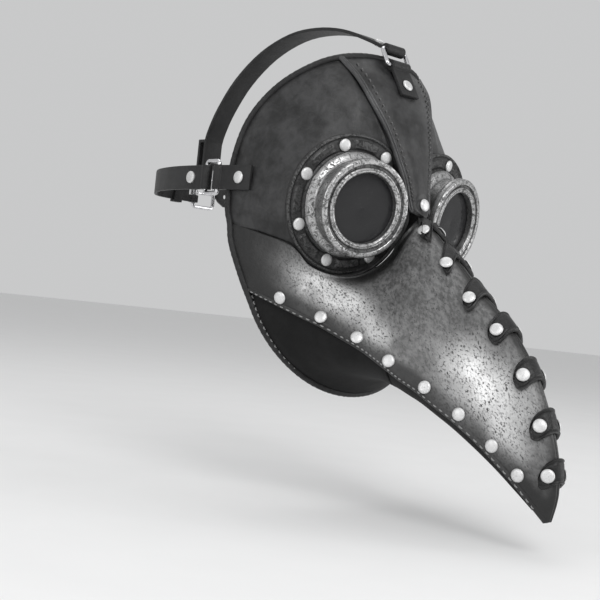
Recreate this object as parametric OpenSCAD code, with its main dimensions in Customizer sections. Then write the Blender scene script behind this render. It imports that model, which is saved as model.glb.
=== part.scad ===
// Plague doctor mask: riveted leather face with a long hooked beak, round goggles and a three-strap harness.
// Millimetres. +X is the wearer's left, the beak points to -Y, +Z is up.
// The origin is the centre of the face opening, level with the goggles.

/* [Leather] */
// Thickness of the face and beak panels
leather_t = 2.4; // [1.8:0.1:2.8]
// Thickness of the harness straps
strap_t = 2.2; // [1.6:0.1:2.6]
// Width of the harness straps
strap_w = 16; // [14:1:18]
// Radius of the bound edge round the face opening
binding_r = 2.2; // [1.8:0.1:2.6]

/* [Goggles] */
// Distance of each goggle centre from the middle plane
eye_x = 43; // [42.5:0.5:44]
// Radius of the goggle's front rim
rim_r = 31; // [30:0.5:31.5]
// Radius of the clear opening in the lens ring
lens_open_r = 22; // [20:0.5:22.5]
// Radius of the riveted flange round each goggle
flange_r = 44.5; // [43:0.5:45]
// Depth of the flange's front face behind the rim
flange_depth = 20.5; // [19.5:0.5:21]

/* [Rivets] */
// Radius of the rivet heads
rivet_r = 4; // [3:0.5:4.5]
// Height of the rivet heads
rivet_h = 1.8; // [1.2:0.2:2.4]

/* [Hardware] */
// Radius of the wire of the rings and the buckle
wire_r = 1.5; // [1.2:0.1:1.6]
// Radial clearance of every pin and thread
fit_gap = 0.08; // [0.05:0.01:0.1]

/* [Hidden] */
$fn = 48;
lap = 0.15;                 // gap between two lapped leathers
lap_w = 9;                  // how far the chin leather runs up inside the beak sides
seam_inset = 6.5;           // rivet line to panel edge
pipe_r = 1.1;               // radius of the brow piping
thread_r = 0.45;            // radius of the sewing thread

// ---- Colours ----
c_leather = [0.16, 0.16, 0.17];
c_beak = [0.32, 0.32, 0.34];
c_dark = [0.07, 0.07, 0.075];
c_steel = [0.62, 0.62, 0.62];
c_rivet = [0.85, 0.85, 0.84];
c_lens = [0.03, 0.03, 0.035];

// ---- Vector helpers ----
function unit(v) = v / norm(v);
function mix(a, b, f) = a + (b - a) * f;

// A knot of the list p; past the ends it is carried on in a straight line
function knot(p, i) =
    i < 0 ? 2 * p[0] - p[1] :
    i >= len(p) ? 2 * p[len(p) - 1] - p[len(p) - 2] :
    p[i];

// Smooth curve through the knots of p; u runs from 0 to len(p) - 1
function through(p, u) =
    let (i = max(0, min(floor(u), len(p) - 2)), f = u - i)
    let (a = knot(p, i - 1), b = p[i], c = p[i + 1], d = knot(p, i + 2))
    b + 0.5 * f * ((c - a) + f * ((2 * a - 5 * b + 4 * c - d) + f * (3 * b - a - 3 * c + d)));

function bezier(p, f) =
    let (g = 1 - f)
    g * g * g * p[0] + 3 * g * g * f * p[1] + 3 * g * f * f * p[2] + f * f * f * p[3];

// ---- Goggle frame: side points to the nose, up along the flange, out through the lens ----
eye_splay = 13;
eye_pitch = 9;
eye_c = [-eye_x, -95, 0];
eye_out = [-sin(eye_splay) * cos(eye_pitch), -cos(eye_splay) * cos(eye_pitch), -sin(eye_pitch)];
eye_side = [cos(eye_splay), -sin(eye_splay), 0];
eye_up = cross(eye_out, eye_side);

// Point at radius r and angle a (0 at the nose, 90 at the top), d behind the rim's front face
function eye(r, a, d) = eye_c + r * (cos(a) * eye_side + sin(a) * eye_up) - d * eye_out;

// ---- Beak side: each station is [upper edge, handle at the upper edge, bulge at the lower edge, lower edge] ----
edge_r = flange_r + 1.5;    // the beak side's upper edge runs this far from the goggle's axis
beak = [
    [[-82, -12, -15],      [-1, 0, -12],     1.5, [-78, -30, -58]],
    [[-78, -36, -20],      [-1, -1, -13],    2.5, [-75, -42, -62]],
    [eye(edge_r, 222, 24), [-3, -2, -12],    3.5, [-70.5, -53, -66]],
    [eye(edge_r, 245, 24), [-4, -5, -11],    5,   [-65.5, -68, -71]],
    [eye(edge_r, 265, 21), [-5, -8, -9],     6.5, [-60, -84, -76]],
    [eye(45.5, 283, 17),   [-5.5, -11, -8],  7.5, [-53, -97, -82]],
    [eye(43.5, 299, 13),   [-6, -13, -8],    8,   [-47.5, -107, -87]],
    [eye(40, 316, 9),      [-6, -14, -9],    8,   [-43.5, -115, -92]],
    [[-9.5, -99, -10],     [-6, -17, -15],   7,   [-39.5, -122, -97]],
    [[0, -103, -1.5],      [-14, -22, -18],  9.5, [-36.5, -130, -102]],
    [[0, -128, -20.5],     [-14, -12, -9],   8,   [-33, -140, -107]],
    [[0, -155, -43],       [-12.5, -3, -2.5], 7,  [-29, -151, -114]],
    [[0, -180, -62],       [-11, 0, 0],      6,   [-24, -163, -121.5]],
    [[0, -201, -86],       [-10, 0, 0],      5,   [-18.5, -178, -132]],
    [[0, -214, -109],      [-8.5, 0, 0],     4,   [-14, -190, -142]],
    [[0, -223, -132],      [-6.5, 0, 0],     3,   [-10, -202, -152.5]],
    [[0, -226, -153],      [-4, 0, 0],       1.5, [-5.5, -213, -164]],
    [[0, -223.5, -170],    [-1.6, 0, 0],     0.4, [-1.8, -219.5, -171.5]]
];
beak_last = len(beak) - 1;
beak_upper = [for (s = beak) s[0]];
beak_handle = [for (s = beak) s[1]];
beak_bulge = [for (s = beak) s[2]];
beak_lower = [for (s = beak) s[3]];

// Keeps a point of the right half from crossing the middle plane
function on_this_side(p) = [min(p[0], 0), p[1], p[2]];
// The section at station t as a Bezier curve from the upper to the lower edge
function section(t) =
    let (a = on_this_side(through(beak_upper, t)), b = through(beak_lower, t))
    let (along = unit(through(beak_lower, t + 0.05) - through(beak_lower, t - 0.05)))
    let (out = unit(cross(b - a, along)))
    [a, a + through(beak_handle, t), mix(b, a, 0.4) + out * through(beak_bulge, t), b];
function skin(t, s) = bezier(section(t), s);
// Outward normal of the beak side
function skin_out(t, s) =
    let (s0 = max(0.001, min(0.999, s)), t0 = max(0.02, min(beak_last - 0.02, t)))
    let (ds = skin(t0, s0 + 0.001) - skin(t0, s0 - 0.001))
    let (dt = skin(t0 + 0.02, s0) - skin(t0 - 0.02, s0))
    flat_at_middle(skin(t, s), unit(cross(ds, dt)));
// On the middle plane a normal has no sideways part
function flat_at_middle(p, n) = abs(p[0]) < 0.01 ? unit([0, n[1], n[2]]) : n;
// Section parameter at a distance q from the upper edge, and at a distance q above the lower edge
function s_from_top(t, q, s = 0) =
    let (step = norm(skin(t, s + 0.02) - skin(t, s)))
    s >= 0.98 || q <= step ? s + 0.02 * q / step : s_from_top(t, q - step, s + 0.02);
function s_from_bottom(t, q, s = 1) =
    let (step = norm(skin(t, s) - skin(t, s - 0.02)))
    s <= 0.02 || q <= step ? s - 0.02 * q / step : s_from_bottom(t, q - step, s - 0.02);

// ---- Chin and underside: [middle line point, handle down from the seam] at each beak station ----
under = [
    [[0, -56, -119],     [1, -12, -28]],
    [[0, -60, -116.5],   [1, -11, -27]],
    [[0, -64, -113.5],   [1, -10, -25]],
    [[0, -69, -110.5],   [1, -8, -22]],
    [[0, -75, -107.5],   [1, -6, -18]],
    [[0, -82, -106],     [2, -4, -13]],
    [[0, -90, -106],     [3, -2, -9]],
    [[0, -100, -107],    [4, 0, -7]],
    [[0, -111, -109.5],  [5, 1, -6]],
    [[0, -122, -113],    [6, 1, -6]],
    [[0, -134, -117.5],  [6, 2, -5.5]],
    [[0, -147, -124],    [6, 2, -5]],
    [[0, -159, -131],    [5, 2, -4.5]],
    [[0, -174, -140.5],  [4, 2, -3.5]],
    [[0, -187, -149],    [3, 1.5, -2.5]],
    [[0, -199, -157.5],  [2, 1, -2]],
    [[0, -211, -166],    [1, 1, -1]],
    [[0, -219, -172.5],  [0.3, 0.3, -0.3]]
];
under_middle = [for (u = under) u[0]];
under_handle = [for (u = under) u[1]];
chin_end = 8;               // station where the chin guard meets the beak's underside

// Row of the under leather at station t: lapped inside the beak side, then down and across to the middle
function under_row(t, n) =
    let (inner = leather_t + lap)
    let (edge = skin(t, 1) - inner * skin_out(t, 1))
    let (c = through(under_middle, t))
    let (arc = [edge, edge + through(under_handle, t), c + [0.62 * edge[0], 0, 0], c])
    let (up = s_from_bottom(t, lap_w * lap_share(t)))
    concat(
        [for (k = [0:2]) let (s = mix(up, 1, k / 3)) skin(t, s) - inner * skin_out(t, s)],
        [for (k = [0:n]) bezier(arc, k / n)]
    );
// The lap narrows towards the tip of the beak
function lap_share(t) = t < 12 ? 1 : max(0.12, (beak_last - t) / (beak_last - 12));
// Whole row from side to side
function under_full(t, n) =
    let (r = under_row(t, n), m = len(r) - 1)
    concat(r, [for (k = [m - 1:-1:0]) [-r[k][0], r[k][1], r[k][2]]]);

// ---- Goggle panel: outer outline round the goggle as [angle, x, y, z, bulge] ----
eye_hole_r = 36;
leather_depth = flange_depth + 3.5;
eye_outline = [
    [0,   -7.5, -95.5, 4,     0],
    [20,  -8.5, -93.5, 16,    0],
    [38,  -11,  -91,   29,    0],
    [55,  -16,  -86.5, 42,    0],
    [68,  -20.5, -81,  55,    1],
    [78,  -26.5, -73,  70,    3],
    [88,  -32.5, -63,  85.5,  4],
    [97,  -37,  -51,   98,    3],
    [108, -52,  -40,   90.5,  5],
    [120, -66,  -25,   75,    7],
    [136, -76,  -13,   53,    7],
    [155, -81,  -8,    27,    6],
    [174, -82.5, -8,   3,     5],
    [190, -82,  -13,  -15,    4],
    [205, -76,  -36,  -21,    2],
    [222, -69.5, -56.5, -27.5, 0],
    [243, -56,  -58.5, -38.5, 0],
    [265, -41,  -63.5, -43,   0],
    [283, -28.5, -70.5, -42,  0],
    [299, -19,  -77.5, -36.5, 0],
    [316, -12.5, -84.5, -27,  0],
    [332, -10,  -91.5, -15,   0],
    [347, -8,   -95.5, -5,    0]
];
// Closed curve through the outline; u runs from 0 to len(eye_outline)
function outline_knot(i) =
    let (n = len(eye_outline), j = (i + n) % n, turn = floor(i / n) * 360)
    eye_outline[j] + [turn, 0, 0, 0, 0];
function outline(u) =
    let (i = floor(u))
    through([for (k = [-1:2]) outline_knot(i + k)], 1 + u - i);
// Row of the goggle panel from the hole to the outline
function eye_row(u, n) =
    let (o = outline(u), a = o[0], edge = [o[1], o[2], o[3]])
    let (h = eye(eye_hole_r, a, leather_depth), g = eye(eye_hole_r + 5 - 3.5 * cos(a), a, leather_depth))
    let (q = mix(edge, g, 0.45) + o[4] * eye_out)
    [for (k = [0:n]) bezier([h, g, q, edge], k / n)];

// ---- Forehead panel: [middle point, side point] from the top edge down to the tongue on the nose ----
forehead = [
    [[0, -57.5, 104],  [-36.5, -52, 99.5]],
    [[0, -73, 88],     [-32, -66, 86]],
    [[0, -83, 71],     [-26, -76, 70]],
    [[0, -90, 55],     [-20, -84, 55]],
    [[0, -95, 40],     [-15.5, -89.5, 41]],
    [[0, -99, 24],     [-10.5, -95, 24]],
    [[0, -102, 12],    [-8.5, -98, 12]],
    [[0, -104, 5],     [-7.5, -100, 5]],
    [[0, -105, 2],     [-5.5, -102, 2.4]],
    [[0, -105.4, 0],   [-1.5, -105, 0.3]]
];
forehead_middle = [for (f = forehead) f[0]];
forehead_side = [for (f = forehead) f[1]];
function forehead_row(u, n) =
    let (c = through(forehead_middle, u), e = through(forehead_side, u))
    let (arc = [c, c + [0.55 * e[0], 0, 0], mix(e, c, 0.3) + [0.05 * e[0], -1, 0.5], e])
    let (half = [for (k = [0:n]) bezier(arc, k / n)])
    concat([for (k = [n:-1:1]) [-half[k][0], half[k][1], half[k][2]]], half);

// ---- Sheets and tubes ----
// Normal of the grid g at row i and column j; ring is true where the rows close on themselves
function grid_out(g, i, j, ring) =
    let (n = len(g), m = len(g[0]))
    let (i0 = ring ? (i + n - 1) % n : max(i - 1, 0), i1 = ring ? (i + 1) % n : min(i + 1, n - 1))
    let (j0 = max(j - 1, 0), j1 = min(j + 1, m - 1))
    flat_at_middle(g[i][j], unit(cross(g[i][j1] - g[i][j0], g[i1][j] - g[i0][j])));

function quad(a, b, c, d) = [[a, b, c], [a, c, d]];

// Direction of the thickness at row i and column j; share of it is taken from the middle of the row
function sheet_out(g, i, j, ring, share) =
    unit(mix(grid_out(g, i, j, ring), grid_out(g, i, floor(len(g[0]) / 2), ring), share));

// Leather sheet: g holds rows of points on the outer face, and t is its thickness inwards;
// half is true for a panel that ends at the middle plane, and lean holds each row's share for sheet_out
module sheet(g, t, ring = false, half = false, lean = []) {
    n = len(g);
    m = len(g[0]);
    outer = [for (i = [0:n - 1]) for (j = [0:m - 1]) g[i][j]];
    under = [
        for (i = [0:n - 1]) let (share = len(lean) > 0 ? lean[i] : 0)
            for (j = [0:m - 1]) g[i][j] - t * sheet_out(g, i, j, ring, share)
    ];
    inner = half ? [for (p = under) on_this_side(p)] : under;
    k = n * m;
    last = ring ? n - 1 : n - 2;
    faces = [
        for (i = [0:last]) let (p = i * m, q = ((i + 1) % n) * m) each [
            for (j = [0:m - 2]) each quad(q + j, q + j + 1, p + j + 1, p + j),
            for (j = [0:m - 2]) each quad(k + p + j + 1, k + q + j + 1, k + q + j, k + p + j),
            each quad(k + p, k + q, q, p),
            each quad(k + q + m - 1, k + p + m - 1, p + m - 1, q + m - 1)
        ],
        if (!ring) for (j = [0:m - 2]) each quad(k + j + 1, k + j, j, j + 1),
        if (!ring) let (e = (n - 1) * m) for (j = [0:m - 2]) each quad(k + e + j, k + e + j + 1, e + j + 1, e + j)
    ];
    polyhedron(concat(outer, inner), faces, convexity = 6);
}

// Round tube of radius r along the points p
module tube(p, r, sides = 8) {
    n = len(p);
    along = [for (i = [0:n - 1]) unit(p[min(i + 1, n - 1)] - p[max(i - 1, 0)])];
    a = [for (t = along) unit(cross(t, abs(t[2]) < 0.8 ? [0, 0, 1] : [1, 0, 0]))];
    function ring_of(i) = [
        for (k = [0:sides - 1])
            p[i] + r * (cos(360 * k / sides) * side_of(i) + sin(360 * k / sides) * cross(along[i], side_of(i)))
    ];
    function side_of(i) = turned(i, first_side());
    function first_side() = a[0];
    function turned(i, v) = unit(v - (v * along[i]) * along[i]);
    pts = [for (i = [0:n - 1]) each ring_of(i)];
    faces = [
        [for (k = [0:sides - 1]) k],
        for (i = [0:n - 2]) for (k = [0:sides - 1])
            let (k1 = (k + 1) % sides) each quad(i * sides + k, (i + 1) * sides + k, (i + 1) * sides + k1, i * sides + k1),
        [for (k = [sides - 1:-1:0]) (n - 1) * sides + k]
    ];
    polyhedron(pts, faces, convexity = 4);
}

module mirrored() {
    mirror([1, 0, 0]) children();
}

// Local frame at p: z along out, y as near as it can be to up
module placed(p, out, up = [0, 0, 1]) {
    z = unit(out);
    x = unit(cross(up, z));
    y = cross(z, x);
    multmatrix([
        [x[0], y[0], z[0], p[0]],
        [x[1], y[1], z[1], p[1]],
        [x[2], y[2], z[2], p[2]],
        [0, 0, 0, 1]
    ]) children();
}

module at_goggle() {
    placed(eye_c, eye_out, eye_up) children();
}

// Round-headed rivet standing on z = 0, with a shank that reaches depth below it and a flat burr at its foot
module rivet(depth, burr = true) {
    crown = rivet_h * 0.45;
    rotate_extrude() polygon(concat(
        [[0, -depth]],
        burr ? [[rivet_r * 0.7, -depth], [rivet_r * 0.7, -depth + 0.9], [1.4, -depth + 0.9]] : [[1.4, -depth]],
        [[1.4, 0], [rivet_r, 0], [rivet_r, rivet_h - crown]],
        [for (k = [1:4]) [rivet_r * cos(22.5 * k), rivet_h - crown + crown * sin(22.5 * k)]]
    ));
}

// ---- Face and beak leathers ----
module forehead_panel() {
    rows = [for (k = [0:26]) k * 9 / 26];
    tongue = [for (u = rows) max(0, min(1, (u - 6) / 1.5))];
    color(c_leather) sheet([for (u = rows) forehead_row(u, 7)], leather_t, lean = tongue);
}

module eye_panel() {
    n = len(eye_outline) * 2;
    color(c_leather) sheet([for (k = [0:n - 1]) eye_row(k / 2, 8)], leather_t, true, true);
}
module eye_panel_right() { eye_panel(); }
module eye_panel_left() { mirrored() eye_panel(); }

module beak_side() {
    rows = 40;
    color(c_beak) sheet([
        for (i = [0:rows]) let (t = i * beak_last / rows) [for (j = [0:12]) skin(t, j / 12)]
    ], leather_t, half = true);
}
module beak_side_right() { beak_side(); }
module beak_side_left() { mirrored() beak_side(); }

module chin_guard() {
    color(c_dark) sheet([for (i = [0:14]) under_full(i * (chin_end - 0.05) / 14, 9)], leather_t);
}

module beak_underside() {
    first = chin_end + 0.05;
    color(c_dark) sheet([for (i = [0:18]) under_full(mix(first, beak_last - 1, i / 18), 6)], leather_t * 0.6);
}

// Binding rolled over the whole edge of the face opening
module edge_binding() {
    top = [for (k = [0:4]) forehead_row(0, 4)[4 + k]];
    side = [for (u = [7.5:0.5:13]) let (o = outline(u)) [o[1], o[2], o[3]]];
    jaw = [for (s = [0.15:0.2:0.95]) skin(0, s)];
    chin = [for (k = [4:13]) under_row(0, 10)[k]];
    half = concat(top, side, jaw, chin);
    last = len(half) - 1;
    start = half[last] + [-0.3, 0, 0];
    right = concat([start], [for (k = [last - 1:-1:1]) half[k]]);
    n = len(right);
    all = concat(right, [half[0]], [for (k = [n - 1:-1:0]) [-right[k][0], right[k][1], right[k][2]]]);
    color(c_dark) tube([for (p = all) p + [0, 0.5, 0]], binding_r);
}

// ---- Brow seam: piping between the forehead and a goggle panel ----
module brow_piping() {
    line = [for (u = [0:0.4:7.6]) let (e = through(forehead_side, u)) e + [-pipe_r * 0.9, 0.3, 0]];
    color(c_leather) tube(line, pipe_r);
}
module brow_piping_right() { brow_piping(); }
module brow_piping_left() { mirrored() brow_piping(); }

// One stitch lying on the leather from a to b, raised along out
module stitch(a, b, out) {
    placed(a + thread_r * 1.1 * out, b - a, out) cylinder(r = thread_r, h = norm(b - a), $fn = 16);
}

module brow_stitching() {
    color(c_steel) for (m = [0, 1]) mirror([m, 0, 0]) for (u = [0.35:0.22:6.2]) {
        a = forehead_row(u, 10)[18];
        b = forehead_row(u + 0.13, 10)[18];
        c = forehead_row(u, 10)[17];
        stitch(a, b, unit(cross(b - a, c - a)));
    }
}

module jaw_stitching() {
    above = 1.2;            // distance of the stitches from the edge of the beak side
    color(c_steel) for (m = [0, 1]) mirror([m, 0, 0]) for (t = [0.3:0.3:16]) {
        a = skin(t, s_from_bottom(t, above));
        b = skin(t + 0.17, s_from_bottom(t + 0.17, above));
        stitch(a, b, skin_out(t, 0.97));
    }
}

// ---- Straps over the ridge of the beak ----
ridge_at = [9.05, 10.0, 10.95, 11.95, 13.0, 14.2, 15.4];        // beak station of each strap's middle
ridge_half = [6, 7, 7.5, 7.5, 7.5, 7.5, 7];                   // half width along the ridge
ridge_reach = [19, 19.5, 18.5, 17, 15.5, 14.5, 13];             // reach down each side
ridge_rivet_q = [13, 14, 12, 10, 8.5, 7.5, 6.5];              // rivets' distance from the ridge
ridge_t = 2.4;
ridge_gap = 0.5;            // gap between a ridge strap and the beak sides

function ridge_point(k, q, b) =
    let (t0 = ridge_at[k], reach = ridge_reach[k])
    let (pace = norm(through(beak_upper, t0 + 0.1) - through(beak_upper, t0 - 0.1)) / 0.2)
    let (round_end = max(0, (abs(q) - reach + ridge_half[k]) / (ridge_half[k] + 0.3)))
    let (w = ridge_half[k] * sqrt(1 - round_end * round_end))
    let (t = t0 + b * w / pace, s = s_from_top(t, abs(q)))
    let (p = skin(t, s) + (ridge_gap + ridge_t) * skin_out(t, s))
    q > 0 ? [-p[0], p[1], p[2]] : p;

module ridge_strap(k) {
    color(c_dark) sheet([
        for (i = [0:14]) [for (b = [-1:0.5:1]) ridge_point(k, -ridge_reach[k] * cos(180 * i / 14), b)]
    ], ridge_t);
}
module ridge_strap_1() { ridge_strap(0); }
module ridge_strap_2() { ridge_strap(1); }
module ridge_strap_3() { ridge_strap(2); }
module ridge_strap_4() { ridge_strap(3); }
module ridge_strap_5() { ridge_strap(4); }
module ridge_strap_6() { ridge_strap(5); }
module ridge_strap_7() { ridge_strap(6); }

// Rivet through the beak side at station t, s, its head standing above the leather by above
module beak_rivet(t, s, above) {
    out = skin_out(t, s);
    placed(skin(t, s) + above * out, out) rivet(above + leather_t + 0.9);
}

module ridge_rivets() {
    color(c_rivet) for (m = [0, 1]) mirror([m, 0, 0]) for (k = [0:6])
        beak_rivet(ridge_at[k], s_from_top(ridge_at[k], ridge_rivet_q[k]), ridge_gap + ridge_t);
}

module bridge_rivet() {
    out = unit([0, -1, 0.15]);
    color(c_rivet) placed([0, -103.1, 8], out) rivet(leather_t + 0.9);
}

jaw_at = [2.05, 3.9, 5.65, 8.1, 10.5, 12.15, 13.55, 14.85];       // beak station of each jaw rivet
module jaw_rivets() {
    color(c_rivet) for (t = jaw_at) beak_rivet(t, s_from_bottom(t, seam_inset), 0);
}
module jaw_rivets_right() { jaw_rivets(); }
module jaw_rivets_left() { mirrored() jaw_rivets(); }

// ---- Goggles ----
neck_r = rim_r - 2.4;
base_r = rim_r + 2.6;
tail_r = 30;
tube_r = 26.4;              // clear bore behind the lens
ring_r = 25.7;              // outside of the lens ring
seat_d = 7.2;               // depth of the lens seat behind the rim
lens_thick = 2;
flange_rivet_ring = 38;

// The nose between the goggles: everything round is cut back to its outline
module nose_block() {
    side = [[9, -12], [11.5, -24], [16, -34], [24, -43], [34, -50]];
    brow = [[22, 52], [17.5, 42], [13, 29], [9.5, 16]];
    edge = concat(side, [[34, -60]], [[-34, -60]], [for (k = [4:-1:0]) [-side[k][0], side[k][1]]],
        [for (k = [3:-1:0]) [-brow[k][0], brow[k][1]]], [[-22, 60], [22, 60]], brow);
    translate([0, -50, 0]) rotate([90, 0, 0]) linear_extrude(70) polygon(edge);
}

module goggle_flange() {
    d = flange_depth;
    color(c_dark) difference() {
        at_goggle() rotate_extrude($fn = 96) polygon([
            [tail_r + 0.1, -d - 3.5], [tail_r + 0.1, -d], [flange_r - 2.5, -d], [flange_r - 2.1, -d - 0.7],
            [flange_r - 1.6, -d - 0.1], [flange_r - 0.8, -d + 0.4], [flange_r, -d - 0.5], [flange_r, -d - 3.5]
        ]);
        nose_block();
    }
}
module goggle_flange_right() { goggle_flange(); }
module goggle_flange_left() { mirrored() goggle_flange(); }

// Rivets round a flange; the first stands at angle first
module flange_rivets(first) {
    color(c_rivet) at_goggle() for (k = [0:5]) rotate(first + k * 49)
        translate([flange_rivet_ring, 0, -flange_depth]) rivet(9);
}
module flange_rivets_right() { flange_rivets(59); }
module flange_rivets_left() { mirrored() flange_rivets(50); }

module goggle_barrel() {
    d = flange_depth;
    bore = ring_r + fit_gap;
    color(c_steel) difference() {
        at_goggle() rotate_extrude($fn = 96) polygon([
            [bore, -1.6], [27.3, -1.6], [27.4, -0.5], [27.9, 0], [rim_r - 0.9, 0], [rim_r, -0.9],
            [rim_r, -4.6], [rim_r - 0.7, -5.6], [neck_r, -7], [neck_r, -13], [neck_r + 1, -14.8],
            [base_r - 1.4, -16.4], [base_r, -17.8], [base_r, -d], [tail_r, -d], [tail_r, -d - 9],
            [tube_r, -d - 9], [tube_r, -seat_d - 2.3], [23, -seat_d - 2.3], [23, -seat_d], [bore, -seat_d]
        ]);
        nose_block();
    }
}
module goggle_barrel_right() { goggle_barrel(); }
module goggle_barrel_left() { mirrored() goggle_barrel(); }

// Ring inside the mask that the flange rivets are set on
module backing_ring() {
    z = -leather_depth - leather_t - 0.5;
    color(c_steel) difference() {
        at_goggle() translate([0, 0, z - 1.6]) difference() {
            cylinder(r = 40.5, h = 1.6, $fn = 96);
            translate([0, 0, -1]) cylinder(r = tail_r + 0.1, h = 4, $fn = 96);
        }
        nose_block();
    }
}
module backing_ring_right() { backing_ring(); }
module backing_ring_left() { mirrored() backing_ring(); }

// Screwed ring that holds the lens on its seat
module lens_ring() {
    back = -seat_d + lens_thick;
    color(c_steel) at_goggle() rotate_extrude($fn = 96) polygon([
        [lens_open_r, back], [lens_open_r, -1.2], [lens_open_r + 0.9, -0.3], [ring_r - 0.8, -0.3],
        [ring_r, -1.1], [ring_r, back]
    ]);
}
module lens_ring_right() { lens_ring(); }
module lens_ring_left() { mirrored() lens_ring(); }

module lens() {
    color(c_lens) at_goggle() translate([0, 0, -seat_d]) cylinder(r = ring_r - 0.2, h = lens_thick, $fn = 96);
}
module lens_right() { lens(); }
module lens_left() { mirrored() lens(); }

// ---- Harness ----
eye_wall = 2.1;             // leather round a ring's bar
loop_r = wire_r + fit_gap;  // bore of the leather round a bar
bar_gap = 13;               // between the two bars of a ring
bar_len = strap_w + 5;      // length of a ring's bars
corner_r = 2.2;             // bend of the wire
temple_z = 14;              // height of the side straps

// Rectangular wire loop in the XY plane; its bars lie along Y at x = 0 and x = gap
module wire_loop(gap, len) {
    c = corner_r;
    color(c_steel) {
        for (x = [0, gap]) translate([x, len / 2 - c, 0]) rotate([90, 0, 0]) cylinder(r = wire_r, h = len - 2 * c);
        for (y = [-len / 2, len / 2]) translate([c, y, 0]) rotate([0, 90, 0]) cylinder(r = wire_r, h = gap - 2 * c);
        for (k = [0:3]) {
            x = k == 0 || k == 3 ? gap - c : c;
            y = k < 2 ? len / 2 - c : c - len / 2;
            translate([x, y, 0]) rotate(k * 90) rotate_extrude(angle = 90) translate([c, 0]) circle(r = wire_r);
        }
    }
}

// Leather band of width strap_w along the flat path p, which lies in the XY plane
function left_of(p, i) =
    let (d = unit(p[min(i + 1, len(p) - 1)] - p[max(i - 1, 0)])) [-d[1], d[0]];
function shifted(p, q) = [for (i = [0:len(p) - 1]) p[i] + q * left_of(p, i)];
module band(p, from, to) {
    linear_extrude(strap_w, center = true)
        polygon(concat(shifted(p, from), [for (k = [len(p) - 1:-1:0]) shifted(p, to)[k]]));
}
// Leather eye round a bar at the point b
module bar_eye(b, h = strap_w) {
    translate([b[0], b[1], -h / 2]) cylinder(r = loop_r + eye_wall, h = h);
}
module bar_bore(b) {
    translate([b[0], b[1], -strap_w]) cylinder(r = loop_r, h = 2 * strap_w);
}

// Temple fittings, drawn flat for the wearer's right side
temple_edge = [-83.2, -8];
temple_dir = unit([-0.1, 1]);
temple_bar = [-86, 1];
ring_dir = unit([0.03, 1]);
strap_bar = temple_bar + bar_gap * ring_dir;

module temple_tab() {
    plate = [temple_bar - 30 * temple_dir, temple_bar];
    color(c_dark) translate([0, 0, temple_z]) difference() {
        union() {
            band(plate, -strap_t / 2, strap_t / 2);
            bar_eye(temple_bar);
        }
        bar_bore(temple_bar);
    }
}
module temple_tab_right() { temple_tab(); }
module temple_tab_left() { mirrored() temple_tab(); }

// Crown fittings, drawn flat in the plane of the ring and its strap, as [y, z]
crown_dir = unit([0.53, 0.85]);
crown_bar = [-68, 99];
crown_strap_bar = crown_bar + bar_gap * unit([0.5, 0.87]);
// Turns the flat drawing's XY plane into the middle plane YZ
module in_middle_plane() {
    multmatrix([[0, 0, 1, 0], [1, 0, 0, 0], [0, 1, 0, 0], [0, 0, 0, 1]]) children();
}

module crown_tab() {
    plate = [crown_bar - 24 * crown_dir, crown_bar];
    color(c_dark) in_middle_plane() difference() {
        union() {
            band(plate, -strap_t / 2, strap_t / 2);
            bar_eye(crown_bar);
        }
        bar_bore(crown_bar);
    }
}

module tab_rivets() {
    temple = temple_bar - 20 * temple_dir;
    out = [-temple_dir[1], temple_dir[0], 0];
    color(c_rivet) {
        for (m = [0, 1]) mirror([m, 0, 0])
            placed([temple[0], temple[1], temple_z] + strap_t / 2 * out, out) rivet(strap_t + leather_t + 2.5);
        crown = crown_bar - 16 * crown_dir;
        crown_out = [0, -crown_dir[1], crown_dir[0]];
        placed([0, crown[0], crown[1]] + strap_t / 2 * crown_out, crown_out) rivet(strap_t + leather_t + 2.5);
    }
}

module temple_ring() {
    placed([temple_bar[0], temple_bar[1], temple_z], [-ring_dir[1], ring_dir[0], 0])
        rotate(180) wire_loop(bar_gap, bar_len);
}
module temple_ring_right() { temple_ring(); }
module temple_ring_left() { mirrored() temple_ring(); }

module crown_ring() {
    d = unit(crown_strap_bar - crown_bar);
    in_middle_plane() translate([crown_bar[0], crown_bar[1], 0]) rotate(atan2(d[1], d[0]))
        rotate([90, 0, 0]) wire_loop(bar_gap, bar_len);
}

// Side strap paths, seen from above: round the head to a flat stretch behind it
back_y = 124;
strap_knots = [strap_bar, [-85.6, 34], [-82, 58], [-73.5, 84], [-60, 106], [-48, 119], [-36, back_y]];
function side_path(knots, n) = [for (i = [0:n * (len(knots) - 1)]) through(knots, i / n)];
side_run = side_path(strap_knots, 5);
buckle_bar = [-12, back_y];
frame_gap = 19;             // length of the buckle frame
frame_len = strap_w + 6;
prong_w = 4;
strap_rivet_at = 15;        // rivet's distance from the bar

module buckle_strap() {
    run = concat(side_run, [buckle_bar]);
    color(c_dark) translate([0, 0, temple_z]) difference() {
        union() {
            band(run, -strap_t / 2, strap_t / 2);
            bar_eye(strap_bar);
            bar_eye(buckle_bar);
        }
        bar_bore(strap_bar);
        bar_bore(buckle_bar);
        translate([buckle_bar[0] - 5, back_y - 6, -prong_w / 2 - 0.4]) cube([12, 12, prong_w + 0.8]);
    }
}

// Billet strap: the same run on the left, with a row of holes and a pointed end
billet_tip = 9.5;           // distance of the tip from the middle plane
hole_r = 1.8;
hole_gap = 13;
hole_x = [for (k = [0:4]) 18 + hole_gap * k];
billet_path = concat(side_run, [[-30, back_y], [-20, back_y], [-billet_tip, back_y]]);
function near_x(p, x, i = 0) = i >= len(p) - 1 || p[i][0] >= x ? i : near_x(p, x, i + 1);

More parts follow.
